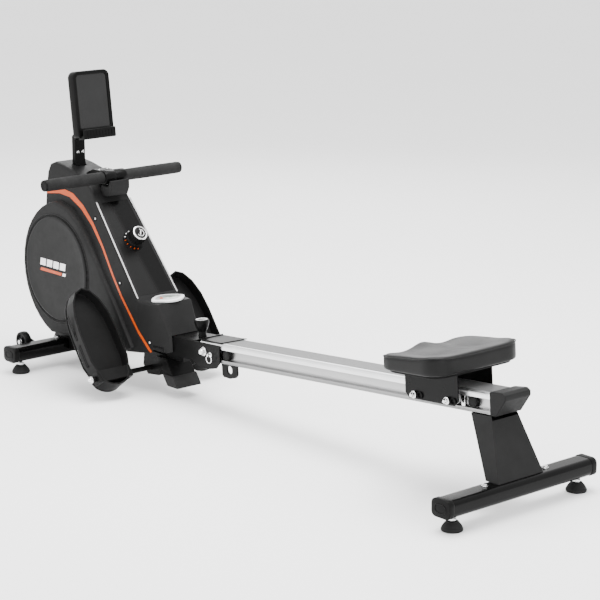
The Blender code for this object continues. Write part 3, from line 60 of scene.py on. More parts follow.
railTilt = math.radians(4.72)
pivot = middle("pivot_bolt")
railMatrix = Matrix.Translation(pivot) @ Matrix.Rotation(-railTilt, 4, "Y")
railUp = (railMatrix.to_3x3() @ Vector((0, 0, 1))).normalized()


def onRail(along, across, above):
    return railMatrix @ Vector((along, across, above))


# Shader helpers

def feed(tree, socket, item):
    if isinstance(item, Value):
        tree.links.new(item.socket, socket)
    else:
        socket.default_value = item


# A node output that can be used in sums
class Value:
    def __init__(self, tree, socket):
        self.tree = tree
        self.socket = socket

    def maths(self, operation, *others, flip=False):
        node = self.tree.nodes.new("ShaderNodeMath")
        node.operation = operation
        items = (self, *others)
        if flip:
            items = items[::-1]
        for socket, item in zip(node.inputs, items):
            feed(self.tree, socket, item)
        return Value(self.tree, node.outputs[0])

    def __add__(self, other):
        return self.maths("ADD", other)

    __radd__ = __add__

    def __sub__(self, other):
        return self.maths("SUBTRACT", other)

    def __rsub__(self, other):
        return self.maths("SUBTRACT", other, flip=True)

    def __mul__(self, other):
        return self.maths("MULTIPLY", other)

    __rmul__ = __mul__

    def __truediv__(self, other):
        return self.maths("DIVIDE", other)

    def above(self, edge):
        return self.maths("GREATER_THAN", edge)

    def below(self, edge):
        return self.maths("LESS_THAN", edge)

    def clamped(self):
        return self.maths("MAXIMUM", 0.0).maths("MINIMUM", 1.0)


# One material being built
class Finish:
    def __init__(self, name, roughness=0.5, metallic=0.0, specular=0.5):
        self.material = bpy.data.materials.new(name)
        self.material.use_nodes = True
        self.tree = self.material.node_tree
        self.shader = self.tree.nodes["Principled BSDF"]
        self.shader.inputs["Roughness"].default_value = roughness
        self.shader.inputs["Metallic"].default_value = metallic
        self.shader.inputs["Specular IOR Level"].default_value = specular
        place = self.tree.nodes.new("ShaderNodeTexCoord")
        self.place = Value(self.tree, place.outputs["Object"])

    def node(self, kind, settings=None, inputs=None, output=0):
        item = self.tree.nodes.new(kind)
        for key, value in (settings or {}).items():
            setattr(item, key, value)
        for key, value in (inputs or {}).items():
            feed(self.tree, item.inputs[key], value)
        return Value(self.tree, item.outputs[output])

    def axis(self, letter):
        return self.node("ShaderNodeSeparateXYZ", {}, {0: self.place}, "XYZ".index(letter))

    def stretched(self, x, y, z):
        return self.node("ShaderNodeVectorMath", {"operation": "MULTIPLY"}, {0: self.place, 1: (x, y, z)})

    def noise(self, scale, detail=3.0, rough=0.55, vector=None):
        return self.node("ShaderNodeTexNoise", {}, {
            "Vector": vector or self.place, "Scale": scale, "Detail": detail, "Roughness": rough})

    def cells(self, scale, vector=None):
        return self.node("ShaderNodeTexVoronoi", {}, {"Vector": vector or self.place, "Scale": scale})

    def span(self, value, low, high, start, end):
        return self.node("ShaderNodeMapRange", {}, {0: value, 1: low, 2: high, 3: start, 4: end})

    def blend(self, share, first, second):
        return self.node("ShaderNodeMix", {"data_type": "RGBA"}, {0: share, 6: first, 7: second}, 2)

    def bump(self, height, distance, strength=1.0, under=None):
        inputs = {"Strength": strength, "Distance": distance, "Height": height}
        if under is not None:
            inputs["Normal"] = under
        return self.node("ShaderNodeBump", {}, inputs)

    def set(self, **sockets):
        for key, value in sockets.items():
            feed(self.tree, self.shader.inputs[key.replace("_", " ")], value)
        return self.material


def colour(level, warm=0.0, alpha=1.0):
    return (level * (1 + warm), level, level * (1 - warm), alpha)


# Moulded plastic: fine spark-eroded grain, soft handling marks, a little paler where it rubs
def moulded(name, level, roughness=0.46, grain=0.00006, warm=0.0, tint=None):
    finish = Finish(name, roughness, specular=0.06)
    grainy = finish.noise(1900.0, 2.0, 0.6)
    marks = finish.noise(14.0, 4.0, 0.62)
    rub = finish.noise(60.0, 3.0, 0.5)
    dark = tint or colour(level, warm)
    pale = tuple(min(1.0, c * 1.22 + 0.0004) for c in dark[:3]) + (1.0,)
    shade = finish.blend(finish.span(marks, 0.38, 0.68, 0.0, 1.0), dark, pale)
    polish = finish.span(rub, 0.3, 0.7, roughness - 0.05, roughness + 0.06)
    first = finish.bump(grainy, grain, 0.7)
    return finish.set(Base_Color=shade, Roughness=polish, Normal=finish.bump(rub, 0.0002, 0.06, first))


def glossy(name, tint, roughness=0.12):
    finish = Finish(name, roughness, specular=0.25)
    finish.shader.inputs["Coat Weight"].default_value = 0.1
    finish.shader.inputs["Coat Roughness"].default_value = 0.06
    ripple = finish.noise(45.0, 2.0, 0.5)
    smear = finish.noise(22.0, 4.0, 0.6)
    pale = tuple(min(1.0, c * 1.2 + 0.0005) for c in tint[:3]) + (1.0,)
    shade = finish.blend(finish.span(smear, 0.35, 0.7, 0.0, 1.0), tint, pale)
    polish = finish.span(smear, 0.35, 0.7, roughness, roughness + 0.08)
    return finish.set(Base_Color=shade, Roughness=polish, Normal=finish.bump(ripple, 0.0003, 0.05))


# Powder coat: orange peel at about a millimetre, satin
def powderCoat(name, level=0.0025, roughness=0.28):
    finish = Finish(name, roughness, specular=0.07)
    finish.shader.inputs["Coat Weight"].default_value = 0.03
    finish.shader.inputs["Coat Roughness"].default_value = 0.18
    peel = finish.noise(720.0, 2.0, 0.45)
    dust = finish.noise(9.0, 5.0, 0.65)
    shade = finish.blend(finish.span(dust, 0.4, 0.72, 0.0, 1.0), colour(level), colour(level * 1.5))
    polish = finish.span(dust, 0.3, 0.7, roughness - 0.04, roughness + 0.08)
    return finish.set(Base_Color=shade, Roughness=polish, Normal=finish.bump(peel, 0.00005, 0.55))


def bareMetal(name, level=0.62, roughness=0.24, stretch=(1, 1, 1), warm=0.0):
    finish = Finish(name, roughness, 1.0)
    lines = finish.noise(520.0, 3.0, 0.6, finish.stretched(*stretch))
    stain = finish.noise(30.0, 4.0, 0.6)
    shade = finish.blend(finish.span(stain, 0.35, 0.7, 0.0, 1.0), colour(level, warm), colour(level * 0.84, warm))
    polish = finish.span(lines, 0.3, 0.7, roughness - 0.05, roughness + 0.1)
    return finish.set(Base_Color=shade, Roughness=polish, Normal=finish.bump(lines, 0.00004, 0.3))


# Extruded aluminium: fine die lines along the rail, satin anodised. The colour also holds painted shade set by
# height on the rail: the channel darker under the upper lips, a dark lower lip and a dark non-metallic flat top
def railMetal():
    finish = Finish("railAluminium", 0.34, 1.0, specular=0.12)
    lines = finish.noise(900.0, 3.0, 0.6, finish.stretched(0.004, 1.0, 1.0))
    broad = finish.noise(130.0, 2.0, 0.5, finish.stretched(0.02, 1.0, 1.0))
    haze = finish.noise(7.0, 4.0, 0.6)
    rise = finish.axis("Z") - finish.axis("X") * math.tan(railTilt)
    roof = pivot.z - pivot.x * math.tan(railTilt) + 0.0263 / math.cos(railTilt)
    flatTop = rise.above(roof - 0.0016) * finish.axis("Y").maths("ABSOLUTE").below(0.0312)
    inChannel = rise.below(roof - 0.0158) * rise.above(roof - 0.0428)
    lowLip = rise.below(roof - 0.0428)
    # Painted shade: down the channel the colour goes from 0.46 at its floor to 0.30 just under the upper lip
    channelPaintedShade = finish.blend(finish.span(rise, roof - 0.0428, roof - 0.0158, 0.0, 1.0), colour(0.46), colour(0.30))
    plain = finish.blend(finish.span(haze, 0.35, 0.7, 0.0, 1.0), colour(0.80, -0.005), colour(0.72, -0.008))
    shade = finish.blend(inChannel, plain, channelPaintedShade)
    # Painted shade: the lower lip is darkened to 0.24
    shade = finish.blend(lowLip, shade, colour(0.24))
    # Painted shade: the flat top is a dark grey, and the next line makes it non-metallic
    shade = finish.blend(flatTop, shade, colour(0.085, -0.005))
    finish.set(Metallic=1.0 - flatTop)
    polish = finish.span(lines, 0.3, 0.7, 0.27, 0.42)
    first = finish.bump(lines, 0.00004, 0.4)
    return finish.set(Base_Color=shade, Roughness=polish, Normal=finish.bump(broad, 0.0002, 0.12, first))


def rubberLike(name, level=0.006, roughness=0.72, scale=1300.0, depth=0.00012):
    finish = Finish(name, roughness, specular=0.15)
    grainy = finish.noise(scale, 3.0, 0.65)
    bloom = finish.noise(26.0, 5.0, 0.65)
    shade = finish.blend(finish.span(bloom, 0.42, 0.72, 0.0, 1.0), colour(level), colour(level * 1.7))
    return finish.set(Base_Color=shade, Roughness=finish.span(bloom, 0.3, 0.7, roughness - 0.06, roughness + 0.1),
                      Normal=finish.bump(grainy, depth, 0.6))


# Closed-cell foam: small open pores on a soft dull skin
def foamSkin():
    finish = Finish("gripFoam", 0.78, specular=0.15)
    pores = finish.cells(1100.0)
    lumps = finish.noise(190.0, 3.0, 0.6)
    worn = finish.noise(17.0, 3.0, 0.6)
    shade = finish.blend(finish.span(worn, 0.4, 0.7, 0.0, 1.0), colour(0.006), colour(0.012))
    pitted = finish.bump(finish.span(pores, 0.0, 0.35, 0.0, 1.0), 0.00022, 0.7)
    return finish.set(Base_Color=shade, Roughness=finish.span(lumps, 0.3, 0.7, 0.7, 0.86),
                      Normal=finish.bump(lumps, 0.0004, 0.3, pitted))


# Self-skinned polyurethane: pebbled leather-like grain under a fine one
def seatSkin():
    finish = Finish("seatSkin", 0.42, specular=0.13)
    drift = finish.node("ShaderNodeTexNoise", {}, {"Vector": finish.place, "Scale": 240.0}, 1)
    drift = finish.node("ShaderNodeVectorMath", {"operation": "SCALE"}, {0: drift, "Scale": 0.0012})
    pebbles = finish.cells(620.0, finish.node("ShaderNodeVectorMath", {"operation": "ADD"}, {
        0: finish.place, 1: drift}))
    fine = finish.noise(1700.0, 2.0, 0.6)
    worn = finish.noise(11.0, 4.0, 0.6)
    shade = finish.blend(finish.span(worn, 0.36, 0.7, 0.0, 1.0), colour(0.003), colour(0.006))
    polish = finish.span(worn, 0.3, 0.7, 0.36, 0.5)
    first = finish.bump(pebbles, 0.00028, 0.5)
    return finish.set(Base_Color=shade, Roughness=polish, Normal=finish.bump(fine, 0.00008, 0.4, first))


# Flat woven strap: ribs across it
def webbing():
    finish = Finish("strapWebbing", 0.82, specular=0.3)
    x = finish.axis("X")
    y = finish.axis("Y")
    ribs = (x * 4200.0).maths("SINE")
    warps = (y * 3300.0).maths("SINE")
    cloth = ribs * 0.5 + warps * 0.5
    shade = finish.blend((cloth * 0.5 + 0.5).clamped(), colour(0.006), colour(0.022))
    return finish.set(Base_Color=shade, Normal=finish.bump(cloth, 0.0002, 0.8))


# The front fascia: darker on the far half, paler and duller on the near one
def fasciaFinish():
    finish = Finish("fasciaPlastic", 0.24, specular=0.1)
    finish.shader.inputs["Coat Weight"].default_value = 0.02
    finish.shader.inputs["Coat Roughness"].default_value = 0.12
    y = finish.axis("Y")
    z = finish.axis("Z")
    near = finish.span(y + (z - 0.37) * 0.11, -0.012, 0.004, 1.0, 0.0)
    grainy = finish.noise(1600.0, 2.0, 0.6)
    shade = finish.blend(near, colour(0.0015), colour(0.0045))
    return finish.set(Base_Color=shade, Roughness=finish.span(near, 0.0, 1.0, 0.20, 0.34),
                      Normal=finish.bump(grainy, 0.00004, 0.4))


looks = {
    "shell": moulded("shellPlastic", 0.009, 0.44),
    "panel": moulded("sidePanelPlastic", 0.010, 0.46),
    "disc": moulded("discPlastic", 0.012, 0.42, 0.00004),
    "dark": moulded("darkPlastic", 0.003, 0.36),
    "tablet": moulded("tabletPlastic", 0.002, 0.34),
    "column": moulded("columnPlastic", 0.010, 0.45),
    "pedal": moulded("pedalPlastic", 0.006, 0.34),
    "white": moulded("printWhite", 0.75, 0.45),
    "nylon": moulded("nylon", 0.62, 0.38),
    "recess": glossy("recessGloss", colour(0.004), 0.16),
    "orange": glossy("orangeTrim", (0.36, 0.045, 0.001, 1.0), 0.3),
    "silver": glossy("silverTrim", colour(0.62), 0.2),
    "edge": glossy("edgeStrip", colour(0.36), 0.25),
    "lens": glossy("lensGloss", colour(0.30), 0.1),
    "screen": glossy("screenGlass", (0.30, 0.33, 0.30, 1.0), 0.1),
    "coat": powderCoat("blackPowderCoat"),
    "tube": powderCoat("glossTube", 0.0012, 0.15),
    "steel": bareMetal("zincSteel"),
    "brightSteel": bareMetal("brightSteel", 0.82, 0.14),
    "iron": bareMetal("castIron", 0.30, 0.5),
    "greyPaint": powderCoat("greyPaint", 0.12, 0.4),
    "rail": railMetal(),
    "rubber": rubberLike("rubber"),
    "softRubber": rubberLike("bootRubber", 0.010, 0.62, 700.0, 0.0002),
    "foam": foamSkin(),
    "seat": seatSkin(),
    "webbing": webbing(),
    "fascia": fasciaFinish(),
}
print("finishes made:", len(looks))


# Shape helpers

def newPiece(name, shape, look, body):
    mesh = bpy.data.meshes.new(name)
    shape.to_mesh(mesh)
    shape.free()
    piece = bpy.data.objects.new(name, mesh)
    bpy.context.scene.collection.objects.link(piece)
    mesh.materials.append(looks[look])
    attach(piece, body)
    return piece


# Marks faces smooth, and edges sharper than the limit as hard
def smoothed(shape, limit=34):
    edge = math.radians(limit)
    for face in shape.faces:
        face.smooth = True
    for line in shape.edges:
        line.smooth = len(line.link_faces) != 2 or line.calc_face_angle(0.0) < edge
    return shape


def bevelled(shape, width, segments=2, limit=34):
    if width:
        edge = math.radians(limit)
        lines = [e for e in shape.edges if len(e.link_faces) == 2 and e.calc_face_angle(0.0) > edge]
        bmesh.ops.bevel(shape, geom=lines, offset=width, segments=segments, profile=0.5, affect="EDGES",
                        clamp_overlap=True)
    return smoothed(shape)


def extruded(outline, low, high, axis="Y"):
    shape = bmesh.new()
    place = {"X": lambda a, b, c: (c, a, b), "Y": lambda a, b, c: (a, c, b), "Z": lambda a, b, c: (a, b, c)}[axis]
    bottom = [shape.verts.new(place(a, b, low)) for a, b in outline]
    upper = [shape.verts.new(place(a, b, high)) for a, b in outline]
    shape.faces.new(bottom)
    shape.faces.new(upper[::-1])
    for i in range(len(outline)):
        j = (i + 1) % len(outline)
        shape.faces.new((bottom[i], upper[i], upper[j], bottom[j]))
    bmesh.ops.recalc_face_normals(shape, faces=shape.faces)
    return shape


# Turns (radius, height) points about local Z
def lathed(profile, segments=48, flutes=0, depth=0.0, fluted=()):
    shape = bmesh.new()
    rings = []
    for index, (radius, height) in enumerate(profile):
        if radius < 1e-6:
            rings.append([shape.verts.new((0, 0, height))])
            continue
        ring = []
        for step in range(segments):
            turn = 2 * math.pi * step / segments
            reach = radius + (depth * math.cos(turn * flutes) if index in fluted else 0.0)
            ring.append(shape.verts.new((reach * math.cos(turn), reach * math.sin(turn), height)))
        rings.append(ring)
    for lower, upper in zip(rings, rings[1:]):
        for step in range(segments):
            nextStep = (step + 1) % segments
            corners = []
            for ring, index in ((lower, step), (lower, nextStep), (upper, nextStep), (upper, step)):
                vertex = ring[index % len(ring)]
                if vertex not in corners:
                    corners.append(vertex)
            if len(corners) > 2:
                shape.faces.new(corners)
    bmesh.ops.recalc_face_normals(shape, faces=shape.faces)
    return smoothed(shape)


# A round bar along points
def wire(points, radius, sides=10, closed=False):
    shape = bmesh.new()
    points = [Vector(p) for p in points]
    rings = []
    count = len(points)
    for i, point in enumerate(points):
        before = points[i - 1] if closed or i else points[0]
        after = points[(i + 1) % count] if closed or i < count - 1 else points[-1]
        along = (after - before).normalized()
        side = along.cross(Vector((0, 0, 1)))
        if side.length < 0.1:
            side = along.cross(Vector((0, 1, 0)))
        side.normalize()
        up = side.cross(along)
        rings.append([shape.verts.new(point + (side * math.cos(2 * math.pi * k / sides)
                                               + up * math.sin(2 * math.pi * k / sides)) * radius)
                      for k in range(sides)])
    pairs = list(zip(rings, rings[1:]))
    if closed:
        pairs.append((rings[-1], rings[0]))
    for lower, upper in pairs:
        for k in range(sides):
            n = (k + 1) % sides
            shape.faces.new((lower[k], lower[n], upper[n], upper[k]))
    if not closed:
        shape.faces.new(rings[0])
        shape.faces.new(rings[-1][::-1])
    bmesh.ops.recalc_face_normals(shape, faces=shape.faces)
    return smoothed(shape, 50)


def facing(place, direction):
    turn = Vector((0, 0, 1)).rotation_difference(Vector(direction).normalized()).to_matrix().to_4x4()
    return Matrix.Translation(place) @ turn


def moved(shape, matrix):
    shape.transform(matrix)
    return shape


# Keeps large flat faces flat beside rounded edges
def levelNormals(piece):
    level = piece.modifiers.new("level", "WEIGHTED_NORMAL")
    level.keep_sharp = True
    level.weight = 60


# A rounded, smooth-shaded stand-in for a CAD node, cut from that node's own mesh
def softened(node, look, body, width=0.0008, segments=2, limit=34):
    shape = bmesh.new()
    shape.from_mesh(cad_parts[node].data)
    bmesh.ops.remove_doubles(shape, verts=shape.verts, dist=0.00001)
    bmesh.ops.dissolve_limit(shape, angle_limit=math.radians(0.6), verts=shape.verts, edges=shape.edges)
    bevelled(shape, width, segments, limit)
    piece = newPiece(node + "_look", shape, look, body)
    levelNormals(piece)
    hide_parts(node)
    return piece


def roundedBox(half, radius, steps=5):
    points = []
    for corner, (sx, sy) in enumerate(((1, 1), (-1, 1), (-1, -1), (1, -1))):
        for step in range(steps):
            turn = math.pi / 2 * (corner + step / (steps - 1))
            points.append((sx * (half[0] - radius) + radius * math.cos(turn),
                           sy * (half[1] - radius) + radius * math.sin(turn)))
    return points


def hexagon(across):
    radius = across / math.sqrt(3)
    return [(radius * math.cos(math.pi / 3 * k), radius * math.sin(math.pi / 3 * k)) for k in range(6)]


# Domed nut or bolt head on a washer
def hexHead(name, place, direction, across, height, look, body, domed=False):
    matrix = facing(place, direction)
    head = bevelled(extruded(hexagon(across), 0.0012, 0.0012 + height, "Z"), across * 0.05)
    newPiece(name, moved(head, matrix), look, body)
    washer = lathed([(0, 0), (across * 0.72, 0), (across * 0.72, 0.0010), (across * 0.68, 0.0013), (0, 0.0013)], 32)
    newPiece(name + "_washer", moved(washer, matrix), look, body)
    if domed:
        top = height + 0.001
        dome = lathed([(across * a, top + across * b)
                       for a, b in ((0.46, 0), (0.44, 0.16), (0.34, 0.32), (0.18, 0.41), (0, 0.44))], 32)
        newPiece(name + "_dome", moved(dome, matrix), look, body)


# Cross-head screw
def screwHead(name, place, direction, radius, look, body):
    matrix = facing(place, direction)
    head = lathed([(0, 0), (radius, 0), (radius, 0.0006), (radius * 0.8, 0.0016), (radius * 0.4, 0.0022),
                   (0, 0.0023)], 28)
    newPiece(name, moved(head, matrix), look, body)
    for index in range(2):
        arm = extruded([(-radius * 0.55, -radius * 0.1), (radius * 0.55, -radius * 0.1),
                        (radius * 0.55, radius * 0.1), (-radius * 0.55, radius * 0.1)], 0.0012, 0.00245, "Z")
        turn = Matrix.Rotation(math.pi / 4 + index * math.pi / 2, 4, "Z")
        newPiece(f"{name}_slot{index}", moved(smoothed(arm), matrix @ turn), "dark", body)


sides = (("left", -1), ("right", 1))
# CAD nodes whose shape only needs rounded edges: node, finish, body, edge width
plainNodes = (
    ("main_frame", "coat", "frame", 0.0007),
    ("middle_leg", "coat", "frame", 0.0012),
    ("leg_boot", "softRubber", "frame", 0.0014),
    ("rear_cover", "shell", "frame", 0.0012),
    ("side_cover_left", "panel", "frame", 0.0008),
    ("side_cover_right", "panel", "frame", 0.0008),
    ("trim_strip_left", "orange", "frame", 0.0006),
    ("trim_strip_right", "orange", "frame", 0.0006),
    ("fascia_panel", "fascia", "frame", 0.0006),
    ("flywheel_axle", "steel", "frame", 0.0006),
    ("drive_belt", "rubber", "frame", 0.0004),
    ("return_spring_case", "steel", "frame", 0.0008),
    ("strap_mouth", "dark", "frame", 0.0010),
    ("handle_cradle", "shell", "frame", 0.0018),
    ("tablet_neck", "tablet", "frame", 0.0016),
    ("tension_cable", "rubber", "frame", 0.0),
    ("pedal_axle", "coat", "frame", 0.0008),
    ("hinge_cover", "coat", "rail_group", 0.0005),
    ("rail_end_cap", "shell", "rail_group", 0.0025),
    ("rear_column", "column", "rail_group", 0.0025),
    ("stow_lug", "coat", "rail_group", 0.0006),
    ("carriage", "coat", "seat_group", 0.0008),
    ("seat_base", "dark", "seat_group", 0.0010),
    ("flywheel", "iron", "flywheel_group", 0.0008),
    ("strap_drum", "nylon", "drum_group", 0.0006),
    ("guide_roller", "nylon", "guide_group", 0.0006),
    ("magnet_arm", "greyPaint", "magnet_group", 0.0008),
    ("pull_pin", "brightSteel", "pull_pin_group", 0.0004),
    ("pull_ring", "brightSteel", "pull_ring_group", 0.0),
    ("rail", "rail", "rail_group", 0.0005),
    ("front_stabiliser", "tube", "frame", 0.0009),
    ("rear_stabiliser", "tube", "rail_group", 0.0009),
)
for node, look, body, width in plainNodes:
    softened(node, look, body, width, 2 if width < 0.0012 else 3)
for body in ("roller_fl", "roller_fr", "roller_rl", "roller_rr"):
    for node in [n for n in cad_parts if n.startswith("roller_")]:
        if node.split("_")[1][0] + node.split("_")[2][0] == body[-2:]:
            softened(node, "nylon", body, 0.0006)
print("plain nodes rounded:", len(plainNodes) + 4)


# Floor bars: plastic end caps with a recessed oval
endCap = {
    "deep": 0.016,
    "proud": 0.0007,
    "corner": 0.013,
    "barHalf": (0.0283, 0.0208),
    "barMiddle": 0.0205,  # above the bar's underside
    "oval": (0.017, 0.0105),
    "recess": 0.0012,
    "squareness": 0.8,  # below 1 the oval fills its corners
}


def barEndCaps(node, body, xMiddle):
    half = tuple(value + endCap["proud"] for value in endCap["barHalf"])
    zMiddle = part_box(node)[0].z + endCap["barMiddle"]
    for word, sign in sides:
        outer = sign * (size(node).y / 2 + 0.0012)
        inner = outer - sign * endCap["deep"]
        outline = [(xMiddle + a, zMiddle + b) for a, b in roundedBox(half, endCap["corner"], 6)]
        cap = extruded(outline, min(inner, outer), max(inner, outer))
        newPiece(f"{node}_cap_{word}", bevelled(cap, 0.0016, 3), "dark", body)
        ring = []
        for step in range(48):
            turn = 2 * math.pi * step / 48
            a = math.copysign(abs(math.cos(turn)) ** endCap["squareness"], math.cos(turn)) * endCap["oval"][0]
            b = math.copysign(abs(math.sin(turn)) ** endCap["squareness"], math.sin(turn)) * endCap["oval"][1]
            ring.append((xMiddle + a, outer + sign * 0.0001, zMiddle + b))
        newPiece(f"{node}_cap_rim_{word}", wire(ring, endCap["recess"], 8, True), "dark", body)


frontX = middle("foot_front_left").x
rearX = middle("foot_rear_left").x
barEndCaps("front_stabiliser", "frame", frontX)
barEndCaps("rear_stabiliser", "rail_group", rearX)

# Bolts on top of the floor bars
for x, body, reach in ((frontX, "frame", 0.030), (rearX, "rail_group", 0.052)):
    for word, sign in sides:
        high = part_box("rear_stabiliser")[1].z
        place = (x - 0.004, sign * (reach + 0.047), high + 0.0002)
        hexHead(f"bar_bolt_{body}_{word}", place, (0, 0, 1), 0.011, 0.004, "steel", body)


# Levelling feet: ribbed rubber pad, threaded stem, hex nut
footPad = [(0, 0.0006), (0.0215, 0.0), (0.0245, 0.0010), (0.0250, 0.0035), (0.0246, 0.0060),
           (0.0235, 0.0085), (0.0222, 0.0095), (0.0224, 0.0108), (0.0205, 0.0140), (0.0170, 0.0182),
           (0.0150, 0.0205), (0.0140, 0.0220), (0.0095, 0.0226), (0, 0.0226)]
for end, bodyLetter in (("front", "f"), ("rear", "r")):
    for word, sign in sides:
        node = f"foot_{end}_{word}"
        body = f"foot_{bodyLetter}{word[0]}"
        centre = middle(node)
        centre.z = 0.0
        pad = newPiece(node + "_pad", moved(lathed(footPad, 56), Matrix.Translation(centre)), "rubber", body)
        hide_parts(node)
        thread = [(0.0046 + 0.0004 * (k % 2), 0.0222 + 0.0007 * k) for k in range(41)]
        stem = lathed([(0, 0.0222)] + thread + [(0, 0.0502)], 24)
        newPiece(node + "_stem", moved(stem, Matrix.Translation(centre)), "steel", body)
        nut = bevelled(extruded(hexagon(0.017), 0.0228, 0.0290, "Z"), 0.0007)
        newPiece(node + "_nut", moved(nut, Matrix.Translation(centre)), "steel", body)


# Transport wheels: rounded tyre, dished hub with spokes, axle bolt
wheelProfile = [(0.0045, -0.0095), (0.0100, -0.0095), (0.0105, -0.0060), (0.0195, -0.0056), (0.0205, -0.0096),
                (0.0250, -0.0100), (0.0272, -0.0085), (0.0280, -0.0050), (0.0282, 0.0), (0.0280, 0.0050),
                (0.0272, 0.0085), (0.0250, 0.0100), (0.0205, 0.0096), (0.0195, 0.0056), (0.0105, 0.0060),
                (0.0100, 0.0095), (0.0045, 0.0095)]
for word, sign in sides:
    node = f"transport_wheel_{word}"
    centre = middle(node)
    matrix = facing(centre, (0, 1, 0))
    shape = lathed(wheelProfile, 60)
    wheel = newPiece(node + "_look", moved(shape, matrix), "dark", "wheel_" + word[0])
    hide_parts(node)
    for k in range(5):
        turn = 2 * math.pi * k / 5
        spoke = extruded([(0.010, -0.0018), (0.0202, -0.0012), (0.0202, 0.0012), (0.010, 0.0018)],
                         -0.0078, 0.0078, "Z")
        newPiece(f"{node}_spoke{k}", moved(bevelled(spoke, 0.0004), matrix @ Matrix.Rotation(turn, 4, "Z")),
                 "dark", "wheel_" + word[0])
    place = centre + Vector((0, sign * 0.0112, 0))
    hexHead(f"wheel_bolt_{word}", place, (0, sign, 0), 0.011, 0.0045, "steel", "frame")
print("stands made")


# Side covers: a dished disc with two rings, and a plain printed mark
cover = {
    "centreX": frontX + 0.011,
    "centreZ": 0.282,
    "discRadius": 0.1465,
    "groove": 0.1500,
    "outerRing": 0.1545,
    "markSlant": 0.004,
    "markX": 0.004,  # from the front bar
}
for word, sign in sides:
    face = sign * size("side_cover_left").y
    discMatrix = facing((cover["centreX"], face, cover["centreZ"]), (0, sign, 0))
    radius = cover["discRadius"]
    profile = [(0, 0.0004), (0.05, 0.0005), (0.11, 0.0010), (0.132, 0.0016), (0.1395, 0.0024), (0.1425, 0.0026),
               (0.1450, 0.0018), (radius, 0.0002), (radius, -0.0006)]
    newPiece(f"disc_{word}", moved(lathed(profile, 96), discMatrix), "disc", "frame")
    for name, ringRadius, thick, height in (("groove", cover["groove"], 0.0016, -0.0014),
                                            ("outer", cover["outerRing"], 0.0026, -0.0022)):
        points = []
        for step in range(120):
            turn = 2 * math.pi * step / 120
            points.append(discMatrix @ Vector((ringRadius * math.cos(turn), ringRadius * math.sin(turn), height)))
        newPiece(f"disc_{name}_{word}", wire(points, thick, 8, True), "dark" if name == "groove" else "panel",
                 "frame")
    for index, (x0, x1, z0, z1, look) in enumerate((
            (-0.0700, -0.0440, 0.282, 0.302, "white"), (-0.0380, -0.0120, 0.282, 0.302, "white"),
            (-0.0060, 0.0200, 0.282, 0.302, "white"), (0.0260, 0.0520, 0.282, 0.302, "white"),
            (-0.0700, 0.0330, 0.266, 0.2745, "orange"), (0.0380, 0.0520, 0.266, 0.2745, "white"))):
        low, high = sorted((face + sign * 0.0003, face + sign * 0.0011))
        slant = cover["markSlant"] * (-sign)
        a, b = frontX + cover["markX"] + x0, frontX + cover["markX"] + x1
        mark = extruded([(a, z0), (b, z0), (b + slant, z1), (a + slant, z1)], low, high)
        newPiece(f"mark_{word}_{index}", smoothed(mark), look, "frame")

# Screws in cups on the rear cover's sides
coverScrews = ((0.1744, 0.4464), (0.2961, 0.2882), (0.4164, 0.1446))
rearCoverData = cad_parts["rear_cover"].data
rearCoverTree = BVHTree.FromPolygons([v.co for v in rearCoverData.vertices],
                                     [tuple(p.vertices) for p in rearCoverData.polygons])
for word, sign in sides:
    for index, (dx, z) in enumerate(coverScrews):
        origin = Vector((frontX + dx, sign * 0.2, z))
        hit, normal, _, _ = rearCoverTree.ray_cast(origin, Vector((0, -sign, 0)))
        if hit is None:
            print("no face for screw", word, index)
            continue
        cup = lathed([(0.0050, 0.0006), (0.0062, 0.0010), (0.0072, 0.0006), (0.0074, -0.0004)], 32)
        newPiece(f"screw_cup_{word}_{index}", moved(cup, facing(hit, normal)), "dark", "frame")
        well = lathed([(0, 0.0002), (0.0052, 0.0003), (0.0052, -0.0006)], 28)
        newPiece(f"screw_well_{word}_{index}", moved(well, facing(hit, normal)), "rubber", "frame")
        screwHead(f"cover_screw_{word}_{index}", hit, normal, 0.0034, "steel", "frame")


# Fascia: pale strips down both edges
fascia = {
    "top": (0.168, 0.502),  # behind the front bar, above the floor
    "bottom": (0.376, 0.254),
    "halfTop": 0.0595,
    "halfBottom": 0.0700,
    "stripFrom": 0.014,
    "stripShort": 0.006,
    "stripOuter": 0.0015,
    "stripInner": 0.0055,
    "stripThick": 0.0006,
}
down = Vector((0.2080, 0, -0.2480)).normalized()
out = Vector((-down.z, 0, down.x))
fasciaOrigin = Vector((frontX + fascia["top"][0], 0, fascia["top"][1]))


def onFascia(along, across, above):
    return fasciaOrigin + down * along + Vector((0, across, 0)) + out * above


def quadPrism(corners, thickness, direction):
    shape = bmesh.new()
    lower = [shape.verts.new(c - direction * 0.0006) for c in corners]
    upper = [shape.verts.new(c + direction * thickness) for c in corners]
    shape.faces.new(lower)
    shape.faces.new(upper[::-1])
    for i in range(len(corners)):
        j = (i + 1) % len(corners)
        shape.faces.new((lower[i], upper[i], upper[j], lower[j]))
    bmesh.ops.recalc_face_normals(shape, faces=shape.faces)
    return bevelled(shape, 0.0004)


fasciaLength = (Vector(fascia["bottom"]) - Vector(fascia["top"])).length
for word, sign in sides:
    (a0, h0), (a1, h1) = [
        (along, fascia["halfTop"] + (fascia["halfBottom"] - fascia["halfTop"]) * along / fasciaLength)
        for along in (fascia["stripFrom"], fasciaLength - fascia["stripShort"])]
    inner, outer = fascia["stripInner"], fascia["stripOuter"]
    strip = [onFascia(a0, sign * (h0 - inner), 0), onFascia(a1, sign * (h1 - inner), 0),
             onFascia(a1, sign * (h1 - outer), 0), onFascia(a0, sign * (h0 - outer), 0)]
    newPiece(f"fascia_edge_{word}", quadPrism(strip, fascia["stripThick"], out), "edge", "frame")
print("covers made")


